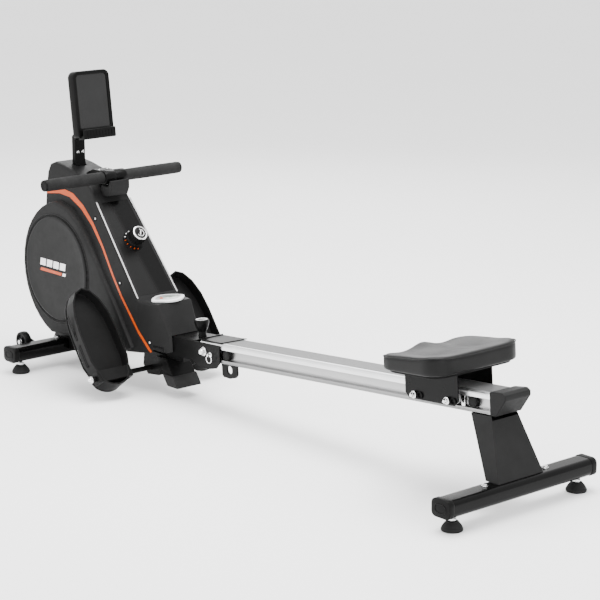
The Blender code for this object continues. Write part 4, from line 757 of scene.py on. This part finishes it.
# Tension knob: fluted grip, silver ring, pointer bar; skirt with ticks
knob = {
    "height": 0.034,
    "base": 0.0123,
    "along": 0.148,  # down the fascia
    "flutes": 24,
    "pointerTurn": 62,
    "ticks": 11,
    "tickStep": 24,
}
knobPlace = fasciaOrigin + down * knob["along"]
knobMatrix = Matrix((
    (down.x, 0, out.x, knobPlace.x),
    (down.y, 1, out.y, knobPlace.y),
    (down.z, 0, out.z, knobPlace.z),
    (0, 0, 0, 1)))
base, top = knob["base"], knob["base"] + knob["height"]
grip = lathed([(0, -0.018), (0.0066, -0.018), (0.0066, base), (0.0256, base), (0.0252, base + 0.004),
               (0.0236, base + 0.006), (0.0232, base + 0.012), (0.0226, top - 0.006), (0.0222, top - 0.002),
               (0.0212, top - 0.0006), (0.0196, top), (0, top)],
              144, knob["flutes"], 0.0006, (6, 7, 8))
knobPiece = newPiece("knob_grip", moved(grip, knobMatrix), "dark", "knob_group")
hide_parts("tension_knob")
ring = lathed([(0.0170, top - 0.0004), (0.0174, top + 0.0008), (0.0192, top + 0.0012), (0.0208, top + 0.0006),
               (0.0214, top - 0.0010), (0.0170, top - 0.0010)], 72)
newPiece("knob_ring", moved(ring, knobMatrix), "brightSteel", "knob_group")
capTop = lathed([(0, top + 0.0009), (0.0120, top + 0.0008), (0.0150, top + 0.0003), (0.0166, top - 0.0002),
                 (0.0166, top - 0.0010)], 56)
newPiece("knob_cap", moved(capTop, knobMatrix), "dark", "knob_group")
arc = []
for step in range(25):
    turn = math.radians(-70 + 250 * step / 24)
    arc.append(knobMatrix @ Vector((0.0105 * math.cos(turn), 0.0105 * math.sin(turn), top + 0.0009)))
newPiece("knob_arc", wire(arc, 0.0009, 8), "silver", "knob_group")
bar = extruded(roundedBox((0.0012, 0.0070), 0.0008, 3), top + 0.0006, top + 0.0024, "Z")
pointerTurn = Matrix.Rotation(math.radians(knob["pointerTurn"]), 4, "Z")
newPiece("knob_pointer", moved(bevelled(bar, 0.0003), knobMatrix @ pointerTurn), "white", "knob_group")
softened("knob_skirt", "dark", "frame", 0.0008)
for k in range(knob["ticks"]):
    turn = math.radians(-60 + knob["tickStep"] * k) + math.pi
    tick = extruded([(0.0264, -0.0006), (0.0290, -0.0006), (0.0290, 0.0006), (0.0264, 0.0006)], 0.0060, 0.0102, "Z")
    newPiece(f"knob_tick{k}", moved(smoothed(tick), knobMatrix @ Matrix.Rotation(turn, 4, "Z")),
             "orange" if k > 5 else "white", "frame")


# Monitor: bright lens-shaped rim, glossy insert and a grey display
def eyeShape(middlePoint, halfLength, halfWidth, low, high, power=0.75, steps=40):
    outline = []
    for side in (1, -1):
        for step in range(steps):
            share = step / steps
            outline.append((middlePoint.x + side * halfWidth * math.cos(math.pi * (share - 0.5)) ** power,
                            (0.5 - share) * 2 * halfLength * side))
    return extruded(outline, low, high, "Z")


rimLow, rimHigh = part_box("monitor_frame")
rimMiddle = middle("monitor_frame")
rim = bevelled(eyeShape(rimMiddle, 0.0540, 0.0370, rimLow.z, rimHigh.z), 0.0022, 4)
rimPiece = newPiece("monitor_rim", rim, "silver", "frame")
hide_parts("monitor_frame")
insert = bevelled(eyeShape(rimMiddle, 0.0425, 0.0262, rimHigh.z - 0.001, rimHigh.z + 0.0005), 0.0004, 2)
insertPiece = newPiece("monitor_insert", insert, "lens", "frame")
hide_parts("monitor_lens")
screen = extruded([(rimMiddle.x + a, 0.008 + b) for a, b in roundedBox((0.0130, 0.0200), 0.002, 3)],
                  rimHigh.z, rimHigh.z + 0.0009, "Z")
newPiece("monitor_screen", bevelled(screen, 0.0002), "screen", "frame")
for index, (x0, y0, x1, y1) in enumerate((
        (-0.009, -0.006, -0.003, -0.004), (-0.009, 0.000, -0.003, 0.002), (-0.009, 0.006, -0.003, 0.008),
        (0.002, -0.006, 0.0035, 0.018), (0.006, -0.006, 0.0075, 0.006))):
    mark = extruded([(rimMiddle.x + x0, 0.004 + y0), (rimMiddle.x + x1, 0.004 + y0), (rimMiddle.x + x1, 0.004 + y1),
                     (rimMiddle.x + x0, 0.004 + y1)], rimHigh.z + 0.0006, rimHigh.z + 0.0011, "Z")
    newPiece(f"screen_mark{index}", smoothed(mark), "dark", "frame")
buttonMiddle = middle("monitor_button")
button = lathed([(0, -0.002), (0.0050, -0.002), (0.0050, 0.0012), (0.0042, 0.0020), (0.0024, 0.0022),
                 (0, 0.0020)], 32)
place = Vector((buttonMiddle.x, buttonMiddle.y, rimHigh.z))
buttonPiece = newPiece("monitor_button_cap", moved(button, Matrix.Translation(place)), "orange", "button_group")
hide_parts("monitor_button")
print("controls made")


# Handle: foam grips with end plugs, steel bar, clamp with a seam and screws
handle = {
    "x": middle("handle_bar").x,
    "z": middle("handle_bar").z,
    "half": size("handle_bar").y / 2,
    "barRadius": 0.0115,
    "gripFrom": 0.0354,
    "gripTo": 0.2225,
}
barMatrix = facing(Vector((handle["x"], 0, handle["z"])), (0, 1, 0))
barEnd = handle["half"] - 0.004
steelBar = lathed([(0, -barEnd), (handle["barRadius"], -barEnd), (handle["barRadius"], barEnd), (0, barEnd)], 40)
barPiece = newPiece("handle_tube", moved(steelBar, barMatrix), "steel", "handle_group")
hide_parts("handle_bar")
for word, sign in sides:
    inner, outer = handle["gripFrom"], handle["gripTo"]
    profile = [(0.0118, inner), (0.0150, inner), (0.0158, inner + 0.0010), (0.0160, inner + 0.0030)]
    for k in range(21):
        share = k / 20
        y = inner + 0.004 + (outer - inner - 0.008) * share
        profile.append((0.0160 + 0.0004 * math.sin(math.pi * share) + 0.00012 * math.sin(23.0 * k), y))
    profile += [(0.0160, outer - 0.0030), (0.0156, outer - 0.0010), (0.0148, outer), (0.0118, outer)]
    matrix = barMatrix if sign > 0 else barMatrix @ Matrix.Rotation(math.pi, 4, "X")
    foam = newPiece(f"grip_foam_{word}", moved(lathed(profile, 56), matrix), "foam", "handle_group")
    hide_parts(f"grip_{word}")
    plug = lathed([(0, 0.2228), (0.0152, 0.2226), (0.0153, 0.2262), (0.0146, 0.2272), (0.0110, 0.2276),
                   (0.0100, 0.2268), (0, 0.2266)], 56)
    newPiece(f"handle_plug_{word}", moved(plug, matrix), "dark", "handle_group")
clampHalf = [(0.0190, 0.0008), (0.0195, 0.0016), (0.0195, 0.0322), (0.0190, 0.0342), (0.0178, 0.035),
             (0.0118, 0.035)]
clampProfile = [(radius, -along) for radius, along in reversed(clampHalf)] + clampHalf
clamp = newPiece("clamp_body", moved(lathed(clampProfile, 56), barMatrix), "tablet", "handle_group")
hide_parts("handle_clamp")
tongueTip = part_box("handle_clamp")[0].x
tongue = extruded([(tongueTip, handle["z"] - 0.0035), (handle["x"] - 0.014, handle["z"] - 0.010),
                   (handle["x"] - 0.014, handle["z"] + 0.010), (tongueTip, handle["z"] + 0.0035)], -0.017, 0.017)
newPiece("clamp_tongue", bevelled(tongue, 0.0012, 3), "tablet", "handle_group")
for word, sign in sides:
    screwHead(f"clamp_screw_{word}", Vector((handle["x"], sign * 0.020, handle["z"] - 0.0190)), (0, 0, -1), 0.0042,
              "steel", "handle_group")

# Pull strap
strapLow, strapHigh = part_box("strap")
strap = {"thick": 0.0019, "half": 0.0128, "lengths": 24, "widths": 8}
thick = strap["thick"]
strapShape = bmesh.new()
rows = []
for k in range(strap["lengths"] + 1):
    share = k / strap["lengths"]
    x = strapLow.x + (strapHigh.x - strapLow.x) * share
    z = strapLow.z + 0.0010 + (strapHigh.z - strapLow.z - 0.0020) * share
    row = []
    for j in range(strap["widths"] + 1):
        y = -strap["half"] + 2 * strap["half"] * j / strap["widths"]
        row.append((strapShape.verts.new((x, y, z - thick / 2)), strapShape.verts.new((x, y, z + thick / 2))))
    rows.append(row)
for first, second in zip(rows, rows[1:]):
    for j in range(strap["widths"]):
        strapShape.faces.new((first[j][1], first[j + 1][1], second[j + 1][1], second[j][1]))
        strapShape.faces.new((first[j][0], second[j][0], second[j + 1][0], first[j + 1][0]))
    strapShape.faces.new((first[0][0], first[0][1], second[0][1], second[0][0]))
    strapShape.faces.new((first[-1][0], second[-1][0], second[-1][1], first[-1][1]))
for row in (rows[0], rows[-1]):
    for j in range(strap["widths"]):
        strapShape.faces.new((row[j][0], row[j + 1][0], row[j + 1][1], row[j][1]))
bmesh.ops.recalc_face_normals(strapShape, faces=strapShape.faces)
strapPiece = newPiece("pull_strap", smoothed(strapShape), "webbing", "handle_group")
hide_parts("strap")
print("handle made")


# Tablet holder: rounded tray with a glossy recess and a lipped ledge
tray = {
    "place": (frontX + 0.079, 0, 0.655),
    "lean": math.radians(7.3),
    "half": 0.060,
    "tall": 0.182,
    "deep": 0.028,
    "corner": 0.018,
    "ribs": 9,
    "ribStep": 0.010,
}
trayMatrix = Matrix.Translation(tray["place"]) @ Matrix.Rotation(-tray["lean"], 4, "Y")


def trayOutline(inset, radius, drop=0.0):
    half, low, high = tray["half"] - inset, inset + drop, tray["tall"] - inset
    points = []
    for sign, zCorner in ((1, high), (-1, high), (-1, low), (1, low)):
        r = radius if zCorner == high else radius * 0.5
        start = {(1, high): 0, (-1, high): 1, (-1, low): 2, (1, low): 3}[(sign, zCorner)]
        up = 1 if zCorner == high else -1
        for k in range(7):
            turn = math.pi / 2 * (start + k / 6)
            points.append((sign * (half - r) + r * math.cos(turn), zCorner - up * r + r * math.sin(turn)))
    return points


def ringBetween(outer, inner, low, high):
    shape = bmesh.new()
    loops = []
    for outline, depth in ((outer, low), (outer, high), (inner, high), (inner, low)):
        loops.append([shape.verts.new((depth, a, b)) for a, b in outline])
    count = len(outer)
    for i in range(4):
        first, second = loops[i], loops[(i + 1) % 4]
        for k in range(count):
            n = (k + 1) % count
            shape.faces.new((first[k], first[n], second[n], second[k]))
    bmesh.ops.recalc_face_normals(shape, faces=shape.faces)
    return shape


rimShape = ringBetween(trayOutline(0, tray["corner"]), trayOutline(0.0105, 0.010, 0.016), 0.0, tray["deep"])
rimShape = bevelled(rimShape, 0.0026, 4)
trayPiece = newPiece("tablet_tray", moved(rimShape, trayMatrix), "tablet", "frame")
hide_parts("tablet_plate")
floorShape = extruded(trayOutline(0.0100, 0.0105, 0.0155), tray["deep"] - 0.0062, tray["deep"] - 0.0032, "X")
newPiece("tablet_recess", moved(smoothed(floorShape), trayMatrix), "recess", "frame")
backShape = extruded(trayOutline(0.0095, 0.0110, 0.0150), 0.0012, 0.0040, "X")
newPiece("tablet_back", moved(bevelled(backShape, 0.0006), trayMatrix), "tablet", "frame")
deep = tray["deep"]
ledgeOutline = [(deep - 0.012, -0.004), (deep + 0.014, -0.004), (deep + 0.0165, -0.001), (deep + 0.0165, 0.0215),
                (deep + 0.0150, 0.0235), (deep + 0.0118, 0.0235), (deep + 0.0105, 0.0215), (deep + 0.0100, 0.0065),
                (deep - 0.012, 0.0065)]
ledge = bevelled(extruded(ledgeOutline, -0.053, 0.053), 0.0012, 3)
newPiece("tablet_ledge", moved(ledge, trayMatrix), "tablet", "frame")
for k in range(tray["ribs"]):
    y = -0.040 + tray["ribStep"] * k
    groove = extruded([(deep + 0.0165, 0.0030), (deep + 0.0172, 0.0034), (deep + 0.0172, 0.0180),
                       (deep + 0.0165, 0.0184)], y - 0.0012, y + 0.0012)
    newPiece(f"ledge_rib{k}", moved(smoothed(groove), trayMatrix), "tablet", "frame")
for word, sign in sides:
    place = Vector((frontX + 0.0245, sign * 0.008, 0.606))
    screwHead(f"neck_screw_{word}", place, (1, 0, 0), 0.0042, "brightSteel", "frame")
    place = Vector((frontX + 0.1315, sign * 0.0135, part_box("strap_mouth")[1].z))
    screwHead(f"hood_screw_{word}", place, (0, 0, 1), 0.0030, "steel", "frame")
print("tablet holder made")


# Pedals: slotted side flange, nested ribs on the sole, heel cup, axle ends
pedalSize = {
    "lean": math.radians(36),
    "length": 0.288,
    "heel": 0.033,  # behind the axle
    "inner": 0.100,
    "outer": 0.2205,
    "sole": 0.0185,
    "rib": 0.0016,
    "toe": 0.125,
    "slot": 0.0034,
}
axle = middle("pedal_axle")


def pedalOutline(grow):
    half = (pedalSize["outer"] - pedalSize["inner"]) / 2 + grow
    heel, toe = -pedalSize["heel"] - grow, pedalSize["length"] - pedalSize["heel"] + grow
    points = []
    for step in range(17):
        turn = math.pi * step / 16
        points.append((heel + 0.035 - 0.035 * math.sin(turn), -(half - 0.012) * math.cos(turn)))
    points.append((heel + 0.075, half))
    shoulder = toe - pedalSize["toe"]
    for step in range(25):
        turn = math.pi * step / 24
        points.append((shoulder + pedalSize["toe"] * math.sin(turn), half * math.cos(turn)))
    points.append((heel + 0.075, -half))
    return points


def denser(points, spacing=0.006):
    result = []
    for first, second in zip(points, points[1:] + points[:1]):
        a, b = Vector(first), Vector(second)
        count = max(1, int((b - a).length / spacing))
        result += [tuple(a.lerp(b, k / count)) for k in range(count)]
    return result


for word, sign in sides:
    body = "pedal_" + word[0]
    middleY = sign * (pedalSize["inner"] + pedalSize["outer"]) / 2
    matrix = (Matrix.Translation((axle.x, middleY, axle.z))
              @ Matrix.Rotation(-math.pi / 2 - pedalSize["lean"], 4, "Y"))
    softened(f"pedal_{word}", "pedal", body, 0.0010, 3)
    for index, grow in enumerate((-0.011, -0.020, -0.029, -0.038, -0.047)):
        ridge = [matrix @ Vector((a, b, pedalSize["sole"] + 0.0008)) for a, b in denser(pedalOutline(grow))]
        newPiece(f"pedal_ridge{index}_{word}", wire(ridge, pedalSize["rib"], 6, True), "pedal", body)
    for k in range(7):
        a = 0.012 + 0.026 * k
        grip = extruded([(a, -0.006), (a + 0.003, -0.006), (a + 0.003, 0.006), (a, 0.006)],
                        pedalSize["sole"] - 0.0010, pedalSize["sole"] + 0.0018, "Z")
        newPiece(f"pedal_grip{k}_{word}", moved(bevelled(grip, 0.0006), matrix), "softRubber", body)
    rimLine = [matrix @ Vector((a, b, 0.0282)) for a, b in denser(pedalOutline(-0.0022))]
    newPiece(f"pedal_lip_{word}", wire(rimLine, 0.0024, 8, True), "pedal", body)
    heelLine = [matrix @ Vector((a, b, 0.0330)) for a, b in denser(pedalOutline(-0.0030)) if a < 0.010]
    heelLine.sort(key=lambda p: p.y)
    newPiece(f"pedal_heel_{word}", wire(heelLine, 0.0034, 10), "pedal", body)
    for side in (-1, 1):
        for name, start, end in (("long", 0.120, 0.185), ("short", 0.040, 0.100)):
            y = side * ((pedalSize["outer"] - pedalSize["inner"]) / 2 + 0.0002)
            ends = []
            for centreAlong, first in ((end, -90), (start, 90)):
                for k in range(9):
                    turn = math.radians(first + 22.5 * k)
                    ends.append((centreAlong + pedalSize["slot"] * math.cos(turn),
                                 0.004 + pedalSize["slot"] * math.sin(turn)))
            lip = [matrix @ Vector((a, y, b)) for a, b in ends]
            place = "in" if side < 0 else "out"
            newPiece(f"pedal_slot_{name}_{word}_{place}", wire(lip, 0.0009, 6, True), "dark", body)
for word, sign in sides:
    end = Vector((axle.x, sign * size("pedal_axle").y / 2, axle.z))
    hexHead(f"axle_bolt_{word}", end + Vector((0, sign * 0.0002, 0)), (0, sign, 0), 0.013, 0.0035, "brightSteel",
            "frame", True)
print("pedals made")


# Rail: lip highlight lines, bumpers with dished faces, guide block
rail = {"side": 0.03895, "lineFrom": -0.015, "lineLong": 1.04, "dish": 0.0094, "bumperSide": 0.0374}
carriage = {
    "along": 0.863,  # from the pivot
    "spread": 0.054,
    "boltSide": 0.0624,
    "spacerSide": 0.0572,
    "below": -0.003,
    "guideAlong": 0.9475,
    "guideInner": 0.0280,
    "guideOuter": 0.0395,
}
for side in (-1, 1):
    for name, above, radius in (("top", 0.0200, 0.0006), ("low", -0.0212, 0.0006), ("foot", -0.0238, 0.0005)):
        line = [onRail(rail["lineFrom"] + rail["lineLong"] * k / 12, side * rail["side"], above)
                for k in range(13)]
        which = "near" if side < 0 else "far"
        newPiece(f"rail_line_{name}_{which}", wire(line, radius, 6), "rail", "rail_group")
for name in ("bumper_front", "bumper_rear"):
    softened(name, "rubber", "rail_group", 0.0010, 3)
    centre = middle(name)
    for word, sign in sides:
        dish = []
        for step in range(40):
            turn = 2 * math.pi * step / 40
            dish.append(centre + Vector((rail["dish"] * math.cos(turn), sign * rail["bumperSide"],
                                         rail["dish"] * math.sin(turn))))
        newPiece(f"{name}_ring_{word}", wire(dish, 0.0009, 6, True), "rubber", "rail_group")
for word, sign in sides:
    outline = [(carriage["guideAlong"] + a, b + carriage["below"])
               for a, b in roundedBox((0.0055, 0.0125), 0.0015, 3)]
    low, high = sorted((sign * carriage["guideInner"], sign * carriage["guideOuter"]))
    block = bevelled(extruded(outline, low, high), 0.0008)
    newPiece(f"guide_block_{word}", moved(block, railMatrix), "brightSteel", "seat_group")

# Carriage: axle bolts with black spacers
for along in (carriage["along"] - carriage["spread"], carriage["along"] + carriage["spread"]):
    label = f"{along:.3f}".replace("0.", "")
    for word, sign in sides:
        place = onRail(along, sign * carriage["boltSide"], carriage["below"])
        hexHead(f"carriage_bolt_{label}_{word}", place, (0, sign, 0), 0.012, 0.0050, "brightSteel",
                "seat_group", True)
        spacer = lathed([(0.0060, 0), (0.0085, 0), (0.0085, 0.0028), (0.0078, 0.0034), (0.0060, 0.0034)], 32)
        place = onRail(along + 0.018, sign * carriage["spacerSide"], carriage["below"])
        newPiece(f"carriage_spacer_{label}_{word}", moved(spacer, facing(place, (0, sign, 0))), "dark",
                 "seat_group")

# Hinge: pivot bolt and its nuts
hingeNutSide = 0.0437
softened("pivot_bolt", "brightSteel", "frame", 0.0005)
for word, sign in sides:
    hexHead(f"pivot_nut_{word}", Vector((pivot.x, sign * hingeNutSide, pivot.z)), (0, sign, 0), 0.0165, 0.0065,
            "brightSteel", "frame", True)
print("rail made")


# Lock knob: rounded cap with a pale ring on top
lock = {"along": -0.056, "sunk": 0.0016}
softened("lock_knob", "dark", "lock_knob_group", 0.0009, 3)
ringShape = lathed([(0.0120, 0.0), (0.0122, 0.0010), (0.0150, 0.0012), (0.0152, 0.0)], 56)
lockFoot = onRail(lock["along"], 0, 0)
reachUp = (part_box("lock_knob")[1].z - lockFoot.z) / railUp.z - lock["sunk"]
ringMatrix = facing(lockFoot + railUp * reachUp, railUp)
newPiece("lock_knob_ring", moved(ringShape, ringMatrix), "silver", "lock_knob_group")


# Seat: moulded saddle. The surface is a squared-off disc of rings, lifted by a height rule
seat = {
    "halfLong": 0.100,
    "halfWide": 0.142,
    "corner": 0.046,
    "rings": 26,
    "spokes": 96,
    "setBack": 0.008,
    "above": 0.0676,  # from the rail's middle to the underside
    "edgeFrom": 0.88,  # share of the way out where the edge turns down
    "edgeDrop": 0.0085,
}


def seatEdge(turn):
    dx, dy = math.cos(turn), math.sin(turn)
    reach = min(seat["halfLong"] / max(abs(dx), 1e-6), seat["halfWide"] / max(abs(dy), 1e-6))
    a, b = dx * reach, dy * reach
    ca, cb = seat["halfLong"] - seat["corner"], seat["halfWide"] - seat["corner"]
    if abs(a) > ca and abs(b) > cb:
        centre = Vector((math.copysign(ca, a), math.copysign(cb, b)))
        ray = Vector((dx, dy))
        half = ray.dot(centre)
        inside = half * half - centre.length_squared + seat["corner"] ** 2
        reach = half + math.sqrt(max(inside, 0.0))
        a, b = dx * reach, dy * reach
    return Vector((a, b))


def ease(value, low, high):
    share = min(1.0, max(0.0, (value - low) / (high - low)))
    return share * share * (3 - 2 * share)


def seatTop(a, b):
    u, v = a / seat["halfLong"], b / seat["halfWide"]
    thick = 0.0365 + 0.0030 * u
    front = ease(-u, -0.15, 0.95)
    rear = ease(u, 0.15, 0.95)
    pommel = 0.0065 * math.exp(-(v / 0.17) ** 2) * front
    thigh = -0.0060 * math.exp(-((abs(v) - 0.46) / 0.26) ** 2) * front
    bones = -0.0042 * math.exp(-((abs(v) - 0.40) / 0.22) ** 2 - ((u - 0.15) / 0.45) ** 2)
    ridge = 0.0058 * rear * (0.55 + 0.45 * v * v)
    wing = 0.0042 * ease(abs(v), 0.62, 0.98) * (1 - 0.5 * front)
    groove = -0.0016 * math.exp(-(v / 0.06) ** 2) * (1 - front) * (1 - rear)
    return thick + pommel + thigh + bones + ridge + wing + groove


seatShape = bmesh.new()
loops = []
turns = [2 * math.pi * k / seat["spokes"] for k in range(seat["spokes"])]
topCentrePoint = seatShape.verts.new((0, 0, seatTop(0, 0)))
for ringIndex in range(1, seat["rings"] + 1):
    share = ringIndex / seat["rings"]
    loop = []
    for turn in turns:
        edge = seatEdge(turn)
        place = edge * share
        drop = 0.0
        if share > seat["edgeFrom"]:
            slope = (share - seat["edgeFrom"]) / (1 - seat["edgeFrom"])
            drop = seat["edgeDrop"] * (1 - math.sqrt(max(0.0, 1 - slope * slope * 0.96)))
        loop.append(seatShape.verts.new((place.x, place.y, seatTop(place.x, place.y) - drop)))
    loops.append(loop)
for share, low in ((1.004, 0.72), (1.0065, 0.45), (1.004, 0.20), (0.996, 0.07), (0.975, 0.0), (0.90, 0.0)):
    loop = []
    for turn in turns:
        edge = seatEdge(turn)
        rimHeight = seatTop(edge.x, edge.y) - 0.0075
        scale = min(share, 1.0)
        loop.append(seatShape.verts.new((edge.x * scale, edge.y * scale, rimHeight * low)))
    loops.append(loop)
under = seatShape.verts.new((0, 0, 0))
for k in range(seat["spokes"]):
    n = (k + 1) % seat["spokes"]
    seatShape.faces.new((topCentrePoint, loops[0][k], loops[0][n]))
    for first, second in zip(loops, loops[1:]):
        seatShape.faces.new((first[k], second[k], second[n], first[n]))
    seatShape.faces.new((loops[-1][n], loops[-1][k], under))
bmesh.ops.recalc_face_normals(seatShape, faces=seatShape.faces)
seatPlace = railMatrix @ Matrix.Translation((carriage["along"] + seat["setBack"], 0, seat["above"]))
seatPiece = newPiece("saddle", moved(smoothed(seatShape, 60), seatPlace), "seat", "seat_group")
smooth = seatPiece.modifiers.new("smooth", "SUBSURF")
smooth.levels = 1
smooth.render_levels = 1
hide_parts("seat_pad")
lipLine = []
for turn in turns:
    edge = seatEdge(turn)
    height = seatTop(edge.x, edge.y) - 0.0060
    lipLine.append(seatPlace @ Vector((edge.x * 0.997, edge.y * 0.997, height)))
newPiece("saddle_bead", wire(lipLine, 0.0014, 8, True), "seat", "seat_group")
print("saddle made")


# Floor, light and camera
floorMesh = bmesh.new()
bmesh.ops.create_grid(floorMesh, x_segments=1, y_segments=1, size=14.0)
floorData = bpy.data.meshes.new("floor")
floorMesh.to_mesh(floorData)
floorMesh.free()
floor = bpy.data.objects.new("floor", floorData)
bpy.context.scene.collection.objects.link(floor)
paper = Finish("paleFloor", 0.7)
cloud = paper.noise(0.8, 2.0, 0.5)
floorData.materials.append(paper.set(Base_Color=paper.blend(cloud, colour(0.90), colour(0.94))))

world = bpy.data.worlds.new("studio")
bpy.context.scene.world = world
world.use_nodes = True
world.node_tree.nodes["Background"].inputs["Color"].default_value = (1.0, 1.0, 1.0, 1.0)
world.node_tree.nodes["Background"].inputs["Strength"].default_value = 2.1


def softLight(name, place, target, wide, power):
    lamp = bpy.data.lights.new(name, "AREA")
    lamp.shape = "RECTANGLE"
    lamp.size, lamp.size_y = wide
    lamp.energy = power
    item = bpy.data.objects.new(name, lamp)
    item.location = place
    item.rotation_euler = (Vector(target) - Vector(place)).to_track_quat("-Z", "Y").to_euler()
    bpy.context.scene.collection.objects.link(item)


softLight("overheadLight", (0.2, 0.2, 3.2), (0, 0, 0.3), (2.6, 2.0), 230.0)
softLight("leftLight", (-1.2, -3.2, 1.7), (0, 0, 0.3), (2.0, 2.2), 75.0)
softLight("rearLight", (3.4, -0.4, 1.4), (0.2, 0, 0.3), (1.6, 1.6), 40.0)
softLight("backLight", (-2.6, 2.2, 2.0), (-0.4, 0, 0.4), (1.6, 1.6), 40.0)

cameraData = bpy.data.cameras.new("camera")
cameraData.lens = 122.95
cameraData.sensor_width = 36.0
camera = bpy.data.objects.new("camera", cameraData)
camera.location = (rearX + 2.9931, -3.2354, 1.5444)
camera.rotation_euler = (math.radians(90 - 13.57), 0.0, math.radians(49.11))
bpy.context.scene.collection.objects.link(camera)
bpy.context.scene.camera = camera
